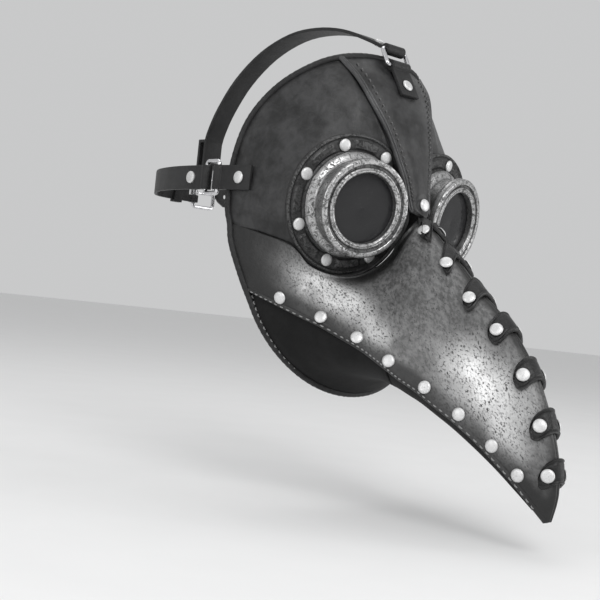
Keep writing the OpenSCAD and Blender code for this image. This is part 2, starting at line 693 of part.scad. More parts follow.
module billet_strap() {
    color(c_dark) mirrored() translate([0, 0, temple_z]) difference() {
        union() {
            band(billet_path, -strap_t / 2, strap_t / 2);
            bar_eye(strap_bar);
        }
        bar_bore(strap_bar);
        for (x = hole_x) {
            i = near_x(billet_path, -x);
            f = (-x - billet_path[i - 1][0]) / (billet_path[i][0] - billet_path[i - 1][0]);
            p = mix(billet_path[i - 1], billet_path[i], f);
            out = left_of(billet_path, i);
            placed([p[0], p[1], 0], [out[0], out[1], 0]) cylinder(r = hole_r, h = 12, center = true);
        }
        for (m = [0, 1]) mirror([0, 0, m]) translate([-billet_tip, back_y - 10, 0])
            rotate([-90, 0, 0]) linear_extrude(20) polygon([[1, -1], [1, -12], [-14, -12], [-9, -8.2], [-3, -5]]);
    }
}

// Crown strap, seen from the side as [y, z]: over the head and down its back, ending in a loop
crown_path = side_path([
    crown_strap_bar, [-43, 118], [-19, 126], [8, 129.5], [36, 127.5], [66, 117], [92, 99], [110, 78], [119, 62], [122, 53]
], 4);
loop_high = 17.5;
loop_deep = 4.6;

module crown_strap() {
    last = crown_path[len(crown_path) - 1];
    y0 = last[0] - strap_t / 2;
    z0 = last[1] - loop_high - strap_t;
    color(c_dark) in_middle_plane() difference() {
        union() {
            band(crown_path, -strap_t / 2, strap_t / 2);
            bar_eye(crown_strap_bar);
            translate([y0, z0, -strap_w / 2]) cube([loop_deep + 2 * strap_t, loop_high + 2 * strap_t, strap_w]);
        }
        bar_bore(crown_strap_bar);
        translate([y0 + strap_t, z0 + strap_t, -strap_w]) cube([loop_deep, loop_high, 2 * strap_w]);
    }
}

// Rivet through the folded start of the strap along p, next to its bar
module strap_rivet(p) {
    d = unit(p[1] - p[0]);
    at = p[0] + strap_rivet_at * d + strap_t / 2 * left_of(p, 0);
    translate([at[0], at[1], 0]) rotate(atan2(d[1], d[0])) rotate([-90, 0, 0]) color(c_rivet) rivet(strap_t + 0.9);
}
module buckle_strap_rivet() { translate([0, 0, temple_z]) strap_rivet(side_run); }
module billet_strap_rivet() { mirrored() buckle_strap_rivet(); }
module crown_strap_rivet() { in_middle_plane() strap_rivet(crown_path); }

// ---- Rear buckle, its frame and prong turning on the end of the buckle strap ----
module at_buckle() {
    translate([buckle_bar[0], buckle_bar[1], temple_z]) rotate([-90, 0, 0]) children();
}
module buckle_frame() {
    at_buckle() wire_loop(frame_gap, frame_len);
}
module buckle_prong() {
    tip = frame_gap + wire_r + 1.5;
    rod = 1.1;
    lift = wire_r + rod + 0.1;
    color(c_steel) at_buckle() difference() {
        union() {
            rotate([90, 0, 0]) cylinder(r = loop_r + 1.3, h = prong_w, center = true);
            translate([0, 0, lift]) rotate([0, 90, 0]) cylinder(r = rod, h = tip);
            translate([tip, 0, lift]) sphere(r = rod);
        }
        rotate([90, 0, 0]) cylinder(r = loop_r, h = prong_w + 2, center = true);
    }
}

// Sliding keeper round the flat end of the buckle strap
keeper_x = -28;
keeper_w = 7;
module strap_keeper() {
    gap = 0.35;
    wall = 1.5;
    color(c_dark) translate([keeper_x, back_y, temple_z]) difference() {
        cube([keeper_w, strap_t + 2 * gap + 2 * wall, strap_w + 2 * gap + 2 * wall], center = true);
        cube([keeper_w + 2, strap_t + 2 * gap, strap_w + 2 * gap], center = true);
    }
}

forehead_panel();
eye_panel_right();
eye_panel_left();
beak_side_right();
beak_side_left();
chin_guard();
beak_underside();
edge_binding();
brow_piping_right();
brow_piping_left();
brow_stitching();
jaw_stitching();
ridge_strap_1();
ridge_strap_2();
ridge_strap_3();
ridge_strap_4();
ridge_strap_5();
ridge_strap_6();
ridge_strap_7();
ridge_rivets();
bridge_rivet();
jaw_rivets_right();
jaw_rivets_left();
goggle_flange_right();
goggle_flange_left();
flange_rivets_right();
flange_rivets_left();
goggle_barrel_right();
goggle_barrel_left();
backing_ring_right();
backing_ring_left();
lens_ring_right();
lens_ring_left();
lens_right();
lens_left();
temple_tab_right();
temple_tab_left();
crown_tab();
tab_rivets();
temple_ring_right();
temple_ring_left();
crown_ring();
buckle_strap();
billet_strap();
crown_strap();
buckle_frame();
buckle_prong();
strap_keeper();
buckle_strap_rivet();
billet_strap_rivet();
crown_strap_rivet();
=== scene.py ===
"""Plague doctor mask: the looks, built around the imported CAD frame. Sizes are in millimetres."""
import math

import bmesh
import bpy
import numpy as np
from mathutils import Matrix, Vector


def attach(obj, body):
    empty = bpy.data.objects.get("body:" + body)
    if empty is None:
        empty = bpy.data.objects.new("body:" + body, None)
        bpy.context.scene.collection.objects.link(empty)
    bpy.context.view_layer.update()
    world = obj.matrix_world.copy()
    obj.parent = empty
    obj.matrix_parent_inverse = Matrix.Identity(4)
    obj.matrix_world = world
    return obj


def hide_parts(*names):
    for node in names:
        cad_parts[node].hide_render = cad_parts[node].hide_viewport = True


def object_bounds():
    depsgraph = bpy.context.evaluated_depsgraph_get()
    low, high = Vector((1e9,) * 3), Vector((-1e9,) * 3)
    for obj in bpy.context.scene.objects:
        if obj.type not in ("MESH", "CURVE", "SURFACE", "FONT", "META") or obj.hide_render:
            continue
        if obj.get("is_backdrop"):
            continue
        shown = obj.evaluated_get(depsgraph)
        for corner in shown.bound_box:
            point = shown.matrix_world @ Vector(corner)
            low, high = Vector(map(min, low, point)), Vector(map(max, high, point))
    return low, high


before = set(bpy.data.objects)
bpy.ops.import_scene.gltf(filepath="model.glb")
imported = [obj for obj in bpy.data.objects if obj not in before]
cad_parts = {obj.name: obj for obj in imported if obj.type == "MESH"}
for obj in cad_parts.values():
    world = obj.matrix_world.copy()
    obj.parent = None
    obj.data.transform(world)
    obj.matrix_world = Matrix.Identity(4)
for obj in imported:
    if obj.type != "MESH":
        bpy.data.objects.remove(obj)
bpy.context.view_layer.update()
MM = 0.001

# ---------------------------------------------------------------- driving sizes, as in the part
LEATHER = 2.4               # thickness of the face and beak panels
LAP = 0.15                  # gap between lapped leathers
LAP_WIDTH = 9.0             # how far the chin leather runs up inside the beak sides
RIVET_R = 4.0
RIVET_H = 1.8
BURR = 0.9                  # how far a rivet's shank stands out inside
RIM_R = 31.0
FLANGE_R = 44.5
FLANGE_DEPTH = 20.5
LENS_OPEN_R = 22.0
RING_R = 25.7
SEAT_DEPTH = 7.2
BINDING_R = 2.2
UNDERSIDE_T = 0.6 * LEATHER # thickness of the leather under the beak
SEAM_GAP = 0.05             # half the gap, in beak stations, between the chin guard and the underside
TAPER_FROM = 12             # beak station from which the lap inside the beak narrows
CHIN_END = 8.0              # beak station where the chin guard meets the underside
SEAM_INSET = 6.5            # jaw rivets to the beak side's lower edge
STITCH_INSET = 1.3          # jaw stitches to the beak side's lower edge
EDGE_ROUND = 0.8            # radius of a cut leather edge
STRAP_ROUND = 0.45          # radius of a strap's edge
BACK_DEPTH = 3.3            # the flange's back behind its rivets' seat
FLANGE_STEP = 49            # degrees between the rivets of a flange
FLANGE_RIVETS = 6
FLOOR_GAP = 20.0            # between the floor and the mask's lowest point
SIDES = ("right", "left")

# ---------------------------------------------------------------- vector helpers


def unit(v):
    v = np.asarray(v, float)
    return v / np.maximum(np.linalg.norm(v, axis=-1, keepdims=True), 1e-12)


def mix(a, b, f):
    return a + (b - a) * f


def smooth(x, low, high):
    """0 below low, 1 above high, smooth between."""
    f = np.clip((np.asarray(x, float) - low) / (high - low), 0, 1)
    return f * f * (3 - 2 * f)


def hill(x, centre, width):
    return np.exp(-((x - centre) / width) ** 2)


def through(knots, u):
    """Smooth curve through the knots at the parameters u, carried on straight past the ends."""
    p = np.asarray(knots, float)
    p = np.vstack([2 * p[:1] - p[1:2], p, 2 * p[-1:] - p[-2:-1]])
    u = np.asarray(u, float)
    i = np.clip(np.floor(u).astype(int), 0, len(p) - 4)
    f = (u - i)[..., None]
    a, b, c, d = p[i], p[i + 1], p[i + 2], p[i + 3]
    return b + 0.5 * f * ((c - a) + f * ((2 * a - 5 * b + 4 * c - d) + f * (3 * b - a - 3 * c + d)))


def bezier(p, f):
    f = np.asarray(f, float)[..., None]
    g = 1 - f
    return g ** 3 * p[0] + 3 * g * g * f * p[1] + 3 * g * f * f * p[2] + f ** 3 * p[3]


def noise(points, size, seed):
    """Smooth noise from -1 to 1, with cells of the given size."""
    p = np.asarray(points, float) / size + 100
    cell = np.floor(p).astype(np.int64)
    f = p - cell
    f = f * f * (3 - 2 * f)
    total = np.zeros(p.shape[:-1])
    for corner in np.ndindex(2, 2, 2):
        c = cell + np.array(corner)
        # Mixing primes of a spatial hash
        h = c[..., 0] * 73856093 ^ c[..., 1] * 19349663 ^ c[..., 2] * 83492791 ^ seed * 40503
        h = (h * 1103515245 + 12345) & 0x7FFFFFFF
        h = ((h >> 7) * 48271) & 0x7FFFFFFF
        value = (h >> 8 & 0xFFFF) / 32767.5 - 1
        weight = np.prod(np.where(np.array(corner) == 1, f, 1 - f), axis=-1)
        total += value * weight
    return total


# ---------------------------------------------------------------- goggle frame
SPLAY = math.radians(13)
PITCH = math.radians(9)
EYE_C = np.array([-43.0, -95.0, 0.0])
EYE_OUT = -np.array([math.sin(SPLAY) * math.cos(PITCH), math.cos(SPLAY) * math.cos(PITCH), math.sin(PITCH)])
EYE_SIDE = np.array([math.cos(SPLAY), -math.sin(SPLAY), 0.0])
EYE_UP = np.cross(EYE_OUT, EYE_SIDE)


def eye(r, angle, depth):
    """Point at radius r and angle (0 at the nose, 90 at the top), depth behind the right goggle's rim."""
    a = np.radians(angle)
    across = np.cos(a)[..., None] * EYE_SIDE + np.sin(a)[..., None] * EYE_UP
    return EYE_C + np.asarray(r)[..., None] * across - np.asarray(depth)[..., None] * EYE_OUT


def in_goggle(points):
    """Points given as (side, up, out) in the right goggle's frame."""
    p = np.asarray(points, float)
    return EYE_C + p[..., :1] * EYE_SIDE + p[..., 1:2] * EYE_UP + p[..., 2:3] * EYE_OUT


# ---------------------------------------------------------------- the leather surfaces, as in the part
EDGE_R = FLANGE_R + 1.5
# Each station: upper edge, handle at the upper edge, bulge at the lower edge, lower edge
BEAK = [
    [[-82, -12, -15], [-1, 0, -12], 1.5, [-78, -30, -58]],
    [[-78, -36, -20], [-1, -1, -13], 2.5, [-75, -42, -62]],
    [eye(EDGE_R, 222, 24), [-3, -2, -12], 3.5, [-70.5, -53, -66]],
    [eye(EDGE_R, 245, 24), [-4, -5, -11], 5, [-65.5, -68, -71]],
    [eye(EDGE_R, 265, 21), [-5, -8, -9], 6.5, [-60, -84, -76]],
    [eye(45.5, 283, 17), [-5.5, -11, -8], 7.5, [-53, -97, -82]],
    [eye(43.5, 299, 13), [-6, -13, -8], 8, [-47.5, -107, -87]],
    [eye(40, 316, 9), [-6, -14, -9], 8, [-43.5, -115, -92]],
    [[-9.5, -99, -10], [-6, -17, -15], 7, [-39.5, -122, -97]],
    [[0, -103, -1.5], [-14, -22, -18], 9.5, [-36.5, -130, -102]],
    [[0, -128, -20.5], [-14, -12, -9], 8, [-33, -140, -107]],
    [[0, -155, -43], [-12.5, -3, -2.5], 7, [-29, -151, -114]],
    [[0, -180, -62], [-11, 0, 0], 6, [-24, -163, -121.5]],
    [[0, -201, -86], [-10, 0, 0], 5, [-18.5, -178, -132]],
    [[0, -214, -109], [-8.5, 0, 0], 4, [-14, -190, -142]],
    [[0, -223, -132], [-6.5, 0, 0], 3, [-10, -202, -152.5]],
    [[0, -226, -153], [-4, 0, 0], 1.5, [-5.5, -213, -164]],
    [[0, -223.5, -170], [-1.6, 0, 0], 0.4, [-1.8, -219.5, -171.5]],
]
BEAK_LAST = len(BEAK) - 1
BEAK_UPPER = [s[0] for s in BEAK]
BEAK_HANDLE = [s[1] for s in BEAK]
BEAK_BULGE = [[s[2]] for s in BEAK]
BEAK_LOWER = [s[3] for s in BEAK]
# Middle line of the chin and underside, and the handle down from the seam, at each beak station
UNDER = [
    [[0, -56, -119], [1, -12, -28]], [[0, -60, -116.5], [1, -11, -27]],
    [[0, -64, -113.5], [1, -10, -25]], [[0, -69, -110.5], [1, -8, -22]],
    [[0, -75, -107.5], [1, -6, -18]], [[0, -82, -106], [2, -4, -13]],
    [[0, -90, -106], [3, -2, -9]], [[0, -100, -107], [4, 0, -7]],
    [[0, -111, -109.5], [5, 1, -6]], [[0, -122, -113], [6, 1, -6]],
    [[0, -134, -117.5], [6, 2, -5.5]], [[0, -147, -124], [6, 2, -5]],
    [[0, -159, -131], [5, 2, -4.5]], [[0, -174, -140.5], [4, 2, -3.5]],
    [[0, -187, -149], [3, 1.5, -2.5]], [[0, -199, -157.5], [2, 1, -2]],
    [[0, -211, -166], [1, 1, -1]], [[0, -219, -172.5], [0.3, 0.3, -0.3]],
]
UNDER_MIDDLE = [u[0] for u in UNDER]
UNDER_HANDLE = [u[1] for u in UNDER]
# Outline of a goggle panel: angle round the goggle, point, bulge
EYE_OUTLINE = [
    [0, -7.5, -95.5, 4, 0], [20, -8.5, -93.5, 16, 0], [38, -11, -91, 29, 0], [55, -16, -86.5, 42, 0],
    [68, -20.5, -81, 55, 1], [78, -26.5, -73, 70, 3], [88, -32.5, -63, 85.5, 4], [97, -37, -51, 98, 3],
    [108, -52, -40, 90.5, 5], [120, -66, -25, 75, 7], [136, -76, -13, 53, 7], [155, -81, -8, 27, 6],
    [174, -82.5, -8, 3, 5], [190, -82, -13, -15, 4], [205, -76, -36, -21, 2], [222, -69.5, -56.5, -27.5, 0],
    [243, -56, -58.5, -38.5, 0], [265, -41, -63.5, -43, 0], [283, -28.5, -70.5, -42, 0],
    [299, -19, -77.5, -36.5, 0], [316, -12.5, -84.5, -27, 0], [332, -10, -91.5, -15, 0],
    [347, -8, -95.5, -5, 0],
]
EYE_HOLE_R = 36.0
EYE_HOLE_DEPTH = FLANGE_DEPTH + 3.5
# Forehead: middle point and side point from the top edge down to the tongue on the nose
FOREHEAD = [
    [[0, -57.5, 104], [-36.5, -52, 99.5]], [[0, -73, 88], [-32, -66, 86]],
    [[0, -83, 71], [-26, -76, 70]], [[0, -90, 55], [-20, -84, 55]],
    [[0, -95, 40], [-15.5, -89.5, 41]], [[0, -99, 24], [-10.5, -95, 24]],
    [[0, -102, 12], [-8.5, -98, 12]], [[0, -104, 5], [-7.5, -100, 5]],
    [[0, -105, 2], [-5.5, -102, 2.4]], [[0, -105.4, 0], [-1.5, -105, 0.3]],
]
FOREHEAD_LAST = len(FOREHEAD) - 1
FOREHEAD_MIDDLE = [f[0] for f in FOREHEAD]
FOREHEAD_SIDE = [f[1] for f in FOREHEAD]


def section(t):
    """Control points of the beak side's section at the stations t."""
    a = through(BEAK_UPPER, t)
    a[..., 0] = np.minimum(a[..., 0], 0)
    b = through(BEAK_LOWER, t)
    along = unit(through(BEAK_LOWER, t + 0.05) - through(BEAK_LOWER, t - 0.05))
    out = unit(np.cross(b - a, along))
    return [a, a + through(BEAK_HANDLE, t), mix(b, a, 0.4) + out * through(BEAK_BULGE, t), b]


def skin(t, s):
    """Outer face of the right beak side; s runs from 0 at the ridge to 1 at the jaw."""
    t, s = np.broadcast_arrays(np.asarray(t, float), np.asarray(s, float))
    return bezier(section(t), s)


def skin_out(t, s):
    t0 = np.clip(t, 0.02, BEAK_LAST - 0.02)
    s0 = np.clip(s, 0.001, 0.999)
    ds = skin(t0, s0 + 0.001) - skin(t0, s0 - 0.001)
    dt = skin(t0 + 0.02, s0) - skin(t0 - 0.02, s0)
    out = np.cross(ds, dt)
    on_middle = np.abs(skin(t, s)[..., 0]) < 0.01
    out[..., 0] = np.where(on_middle, 0, out[..., 0])
    return unit(out)


def section_lengths(t):
    """Section parameters, and the length of the section at t up to each of them."""
    s = np.linspace(0, 1, 161)
    p = skin(np.asarray(t, float)[..., None], s)
    step = np.linalg.norm(np.diff(p, axis=-2), axis=-1)
    return s, np.concatenate([np.zeros(step.shape[:-1] + (1,)), np.cumsum(step, axis=-1)], axis=-1)


def s_from_top(t, q, bottom=False):
    t, q = np.broadcast_arrays(np.asarray(t, float), np.asarray(q, float))
    s, d = section_lengths(t)
    if bottom:
        q = d[..., -1] - q
    i = np.clip((d < q[..., None]).sum(-1), 1, len(s) - 1)[..., None]
    low, high = np.take_along_axis(d, i - 1, -1)[..., 0], np.take_along_axis(d, i, -1)[..., 0]
    return np.clip(s[i[..., 0] - 1] + (q - low) / (high - low) * s[1], 0, 1)


def s_from_bottom(t, q):
    return s_from_top(t, q, bottom=True)


def under_row(t, lap_steps, steps):
    """Half a row of the chin leather at station t, from inside the beak side to the middle."""
    inner = LEATHER + LAP
    share = 1 if t < TAPER_FROM else max(0.12, (BEAK_LAST - t) / (BEAK_LAST - TAPER_FROM))
    s = mix(s_from_bottom(t, LAP_WIDTH * share), 1, np.arange(lap_steps) / lap_steps)
    lap = skin(np.full_like(s, t), s) - inner * skin_out(np.full_like(s, t), s)
    edge = skin(t, 1.0) - inner * skin_out(t, 1.0)
    c = through(UNDER_MIDDLE, t)
    arc = [edge, edge + through(UNDER_HANDLE, t), c + [0.62 * edge[0], 0, 0], c]
    return np.vstack([lap, bezier(arc, np.linspace(0, 1, steps + 1))])


def under_full(t, lap_steps, steps):
    half = under_row(t, lap_steps, steps)
    return np.vstack([half, (half * [-1, 1, 1])[-2::-1]])


def outline(u):
    """Closed outline of the goggle panel at the parameter u."""
    n = len(EYE_OUTLINE)
    knots = [np.array(EYE_OUTLINE[j % n], float) + [360 * (j // n), 0, 0, 0, 0] for j in range(-1, n + 3)]
    return through(knots, np.asarray(u, float) + 1)


def eye_panel_grid(us, vs):
    o = outline(us)
    a, edge, bulge = o[:, 0], o[:, 1:4], o[:, 4:5]
    depth = np.full_like(a, EYE_HOLE_DEPTH)
    h = eye(np.full_like(a, EYE_HOLE_R), a, depth)
    g = eye(EYE_HOLE_R + 5 - 3.5 * np.cos(np.radians(a)), a, depth)
    q = mix(edge, g, 0.45) + bulge * EYE_OUT
    return np.stack([bezier([h, g, q, edge], np.full(len(a), v)) for v in vs], axis=1)


def forehead_grid(us, vs):
    """Rows across the forehead; vs runs from -1, the wearer's left, to 1, the right."""
    rows = []
    for u in us:
        c, e = through(FOREHEAD_MIDDLE, u), through(FOREHEAD_SIDE, u)
        arc = [c, c + [0.55 * e[0], 0, 0], mix(e, c, 0.3) + [0.05 * e[0], -1, 0.5], e]
        half = bezier(arc, np.abs(vs))
        half[:, 0] *= np.sign(vs)
        rows.append(half)
    return np.array(rows)


# ---------------------------------------------------------------- mesh helpers
def linked(name, points, faces):
    """Mesh object from points in millimetres."""
    mesh = bpy.data.meshes.new(name)
    mesh.from_pydata((np.asarray(points, float) * MM).tolist(), [], [list(map(int, f)) for f in faces])
    return in_scene(name, mesh)


def in_scene(name, data):
    obj = bpy.data.objects.new(name, data)
    bpy.context.scene.collection.objects.link(obj)
    return obj


def new_object(name, points, faces, body, replaces=(), slot=None, material=None, sharp=40.0):
    """Mesh object that rides on a body and stands for the CAD nodes named."""
    obj = linked(name, points, faces)
    obj.data.validate()
    return dress(obj, body, replaces, material, sharp)


def dress(obj, body, replaces=(), material=None, sharp=40.0):
    mesh = obj.data
    mesh.polygons.foreach_set("use_smooth", [True] * len(mesh.polygons))
    mesh.set_sharp_from_angle(angle=math.radians(sharp))
    if material:
        mesh.materials.clear()
        mesh.materials.append(material)
    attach(obj, body)
    if replaces:
        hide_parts(*replaces)
    return obj


def set_attribute(obj, name, values):
    attribute = obj.data.attributes.new(name, "FLOAT", "POINT")
    attribute.data.foreach_set("value", np.asarray(values, np.float32))


def evenly(n, ends):
    """n parameters from 0 to 1, with three more close to each end, the last of them at ends."""
    near = np.array([0, 0.12, 0.4, 1]) * ends
    return np.concatenate([near, np.linspace(ends, 1 - ends, n)[1:-1], 1 - near[::-1]])


def grid_normals(g, ring):
    if ring:
        di = np.roll(g, -1, 0) - np.roll(g, 1, 0)
    else:
        di = np.gradient(g, axis=0)
    dj = np.gradient(g, axis=1)
    n = np.cross(dj, di)
    n[..., 0] = np.where(np.abs(g[..., 0]) < 0.01, 0, n[..., 0])
    return unit(n)


def edge_distance(g, ring):
    """Distance of each grid point from the sheet's nearest edge, along the grid's own lines."""
    def from_ends(step, axis):
        d = np.cumsum(step, axis=axis)
        zero = np.zeros_like(np.take(d, [0], axis=axis))
        d = np.concatenate([zero, d], axis=axis)
        return np.minimum(d, np.take(d, [-1], axis=axis) - d)
    across = from_ends(np.linalg.norm(np.diff(g, axis=1), axis=2), 1)
    if ring:
        return across
    return np.minimum(across, from_ends(np.linalg.norm(np.diff(g, axis=0), axis=2), 0))


def grid_faces(n, m, close_rows=False, close_columns=False, start=0, back=False):
    """Quads of a grid of n rows and m columns whose points begin at start; back turns them over."""
    faces = []
    for i in range(n if close_rows else n - 1):
        p, q = start + i * m, start + (i + 1) % n * m
        for j in range(m if close_columns else m - 1):
            k = (j + 1) % m
            face = (p + j, p + k, q + k, q + j)
            faces.append((face[0], *face[:0:-1]) if back else face)
    return faces


def shell_faces(n, m, ring):
    """Faces of a closed sheet of n rows and m columns; the inner face's points follow the outer ones."""
    k = n * m
    faces = grid_faces(n, m, ring) + grid_faces(n, m, ring, start=k, back=True)
    for i in range(n if ring else n - 1):
        p, q = i * m, (i + 1) % n * m
        faces.append((p, q, k + q, k + p))
        faces.append((q + m - 1, p + m - 1, k + p + m - 1, k + q + m - 1))
    if not ring:
        e = (n - 1) * m
        for j in range(m - 1):
            faces.append((j + 1, j, k + j, k + j + 1))
            faces.append((e + j, e + j + 1, k + e + j + 1, k + e + j))
    return faces


def leather_sheet(name, node, material, g, thickness, relief, ring=False, flip=False, half=False, lean=None,
                  paint=None, slot="dark_leather", sharp=50):
    """Sheet of leather with rounded edges over the grid g.

    relief raises the outer face. ring closes the rows, flip mirrors the sheet, and half ends it at the middle
    plane. lean is each row's share of thickness taken along its middle, and paint holds extra attributes.
    """
    normal = grid_normals(g, ring)
    d = edge_distance(g, ring)
    r = min(EDGE_ROUND, thickness * 0.45)
    near = np.clip(r - d, 0, r)
    pull = r - np.sqrt(np.maximum(r * r - near * near, 0))
    outer = g + normal * (relief - pull)[..., None]
    depthwise = normal
    if lean is not None:
        middle = normal[:, normal.shape[1] // 2, None]
        depthwise = unit(mix(normal, middle, lean[:, None, None]))
    inner = g - depthwise * (thickness - pull)[..., None]
    if half:
        outer[..., 0] = np.minimum(outer[..., 0], 0)
        inner[..., 0] = np.minimum(inner[..., 0], 0)
    points = np.concatenate([outer.reshape(-1, 3), inner.reshape(-1, 3)])
    faces = shell_faces(g.shape[0], g.shape[1], ring)
    if flip:
        points = points * [-1, 1, 1]
        faces = [f[::-1] for f in faces]
    obj = new_object(name, points, faces, "mask", [node], slot, material, sharp)
    count = d.size
    set_attribute(obj, "edge", np.tile(d.reshape(-1), 2))
    set_attribute(obj, "inside", np.concatenate([np.zeros(count), np.ones(count)]))
    for key, value in (paint or {}).items():
        set_attribute(obj, key, np.tile(value.reshape(-1), 2))


def lathe(profile, segments):
    """Closed surface turned round z from a closed (radius, z) profile that runs anticlockwise."""
    p = np.array(profile, float)
    a = np.linspace(0, 2 * np.pi, segments, endpoint=False)
    x, y = np.outer(np.cos(a), p[:, 0]), np.outer(np.sin(a), p[:, 0])
    points = np.stack([x, y, np.tile(p[:, 1], (segments, 1))], -1)
    return points.reshape(-1, 3), grid_faces(segments, len(p), True, True, back=True)


def rounded(profile, r, steps=4):
    """The closed profile with its corners rounded to radius r where there is room."""
    p = [np.array(v, float) for v in profile]
    result = []
    for i, corner in enumerate(p):
        before, after = p[i - 1] - corner, p[(i + 1) % len(p)] - corner
        reach = min(r, 0.45 * np.linalg.norm(before), 0.45 * np.linalg.norm(after))
        a, b = corner + unit(before) * reach, corner + unit(after) * reach
        for f in np.linspace(0, 1, steps + 1):
            result.append((1 - f) ** 2 * a + 2 * f * (1 - f) * corner + f * f * b)
    return result


def tube(path, radius, sides, up, closed=False):
    """Round tube along the path, with capped ends unless it is closed."""
    p = np.asarray(path, float)
    n = len(p)
    if closed:
        along = unit(np.roll(p, -1, 0) - np.roll(p, 1, 0))
    else:
        along = unit(np.gradient(p, axis=0))
    side = unit(np.cross(along, np.broadcast_to(up, p.shape)))
    rise = np.cross(side, along)
    a = np.linspace(0, 2 * np.pi, sides, endpoint=False)
    radius = np.broadcast_to(np.asarray(radius, float), (n,))[:, None, None]
    ring = side[:, None] * np.cos(a)[None, :, None] + rise[:, None] * np.sin(a)[None, :, None]
    points = (p[:, None] + radius * ring).reshape(-1, 3)
    faces = grid_faces(n, sides, closed, True)
    if not closed:
        faces.append(tuple(range(sides))[::-1])
        faces.append(tuple((n - 1) * sides + k for k in range(sides)))
    return points, faces


def joined(parts):
    points, faces, start = [], [], 0
    for p, f in parts:
        points.append(np.asarray(p, float))
        faces += [tuple(i + start for i in face) for face in f]
        start += len(p)
    return np.concatenate(points), faces


def placed(points, at, out, up):
    """Points of a local frame, z along out, moved to the point at."""
    z = unit(out)
    x = unit(np.cross(up, z))
    y = np.cross(z, x)
    p = np.asarray(points, float)
    return np.asarray(at) + p[:, :1] * x + p[:, 1:2] * y + p[:, 2:3] * z


def mirrored(parts):
    return [(np.asarray(p) * [-1, 1, 1], [tuple(f)[::-1] for f in faces]) for p, faces in parts]


def outward(obj):
    bm = bmesh.new()
    bm.from_mesh(obj.data)
    bmesh.ops.recalc_face_normals(bm, faces=bm.faces)
    bm.to_mesh(obj.data)
    bm.free()
    return obj


# ---------------------------------------------------------------- materials
class Graph:
    """Small helper round a material's node tree."""

    def __init__(self, name):
        self.material = bpy.data.materials.new(name)
        self.material.use_nodes = True
        self.tree = self.material.node_tree
        self.tree.nodes.clear()
        self.bsdf = self.add("ShaderNodeBsdfPrincipled")
        out = self.add("ShaderNodeOutputMaterial")
        self.link(self.bsdf.outputs[0], out.inputs["Surface"])
        self.place = self.add("ShaderNodeTexCoord").outputs["Object"]

    def add(self, kind, **settings):
        node = self.tree.nodes.new(kind)
        for key, value in settings.items():
            setattr(node, key, value)
        return node

    def link(self, a, b):
        self.tree.links.new(a, b)

    def feed(self, socket, value):
        if hasattr(value, "is_output"):
            self.link(value, socket)
        else:
            socket.default_value = value

    def noise(self, size, detail=3.0, rough=0.55, at=None, distortion=0.0):
        node = self.add("ShaderNodeTexNoise")
        self.link(at or self.place, node.inputs["Vector"])
        node.inputs["Scale"].default_value = 1 / (size * MM)
        node.inputs["Detail"].default_value = detail
        node.inputs["Roughness"].default_value = rough
        node.inputs["Distortion"].default_value = distortion
        return node.outputs["Fac"]

    def cells(self, size, feature, at):
        node = self.add("ShaderNodeTexVoronoi", feature=feature)
        self.link(at, node.inputs["Vector"])
        node.inputs["Scale"].default_value = 1 / (size * MM)
        return node.outputs["Distance"]

    def shaken(self, size, amount):
        """The object's coordinates, pushed about by noise so that cells lose their straight edges."""
        node = self.add("ShaderNodeTexNoise")
        self.link(self.place, node.inputs["Vector"])
        node.inputs["Scale"].default_value = 1 / (size * MM)
        shift = self.add("ShaderNodeVectorMath", operation="MULTIPLY_ADD")
        self.link(node.outputs["Color"], shift.inputs[0])
        shift.inputs[1].default_value = (amount * MM,) * 3
        self.link(self.place, shift.inputs[2])
        return shift.outputs["Vector"]

    def stretched(self, direction, factor):
        """The object's coordinates, squeezed so that a texture runs longer in one direction."""
        d = unit(direction)
        dot = self.add("ShaderNodeVectorMath", operation="DOT_PRODUCT")
        self.link(self.place, dot.inputs[0])
        dot.inputs[1].default_value = tuple(d)
        scaled = self.add("ShaderNodeVectorMath", operation="SCALE")
        scaled.inputs[0].default_value = tuple(d * (1 / factor - 1))
        self.link(dot.outputs["Value"], scaled.inputs["Scale"])
        total = self.add("ShaderNodeVectorMath", operation="ADD")
        self.link(self.place, total.inputs[0])
        self.link(scaled.outputs["Vector"], total.inputs[1])
        return total.outputs["Vector"]

    def attribute(self, name):
        return self.add("ShaderNodeAttribute", attribute_name=name).outputs["Fac"]

    def math(self, operation, a, b, clamp=False):
        node = self.add("ShaderNodeMath", operation=operation, use_clamp=clamp)
        self.feed(node.inputs[0], a)
        self.feed(node.inputs[1], b)
        return node.outputs[0]

    def plus(self, a, b, clamp=False):
        return self.math("ADD", a, b, clamp)

    def times(self, a, b, clamp=False):
        return self.math("MULTIPLY", a, b, clamp)

    def span(self, value, low, high, to_low=0.0, to_high=1.0):
        node = self.add("ShaderNodeMapRange", interpolation_type="SMOOTHSTEP")
        self.feed(node.inputs["Value"], value)
        for key, number in (("From Min", low), ("From Max", high), ("To Min", to_low), ("To Max", to_high)):
            self.feed(node.inputs[key], number)
        return node.outputs["Result"]

    def blend(self, factor, a, b, mode="MIX"):
        node = self.add("ShaderNodeMix", data_type="RGBA", blend_type=mode)
        self.feed(node.inputs[0], factor)
        self.feed(node.inputs[6], a)
        self.feed(node.inputs[7], b)
        return node.outputs[2]

    def bump(self, height, depth, strength=1.0, under=None):
        node = self.add("ShaderNodeBump")
        self.feed(node.inputs["Height"], height)
        node.inputs["Distance"].default_value = depth * MM
        node.inputs["Strength"].default_value = strength
        if under:
            self.link(under, node.inputs["Normal"])
        return node.outputs["Normal"]

    def set(self, **values):
        for key, value in values.items():
            self.feed(self.bsdf.inputs[key.replace("_", " ")], value)
        return self.material


def grey(v, tint=0.0):
    return (v, v, v * (1 + tint), 1.0)


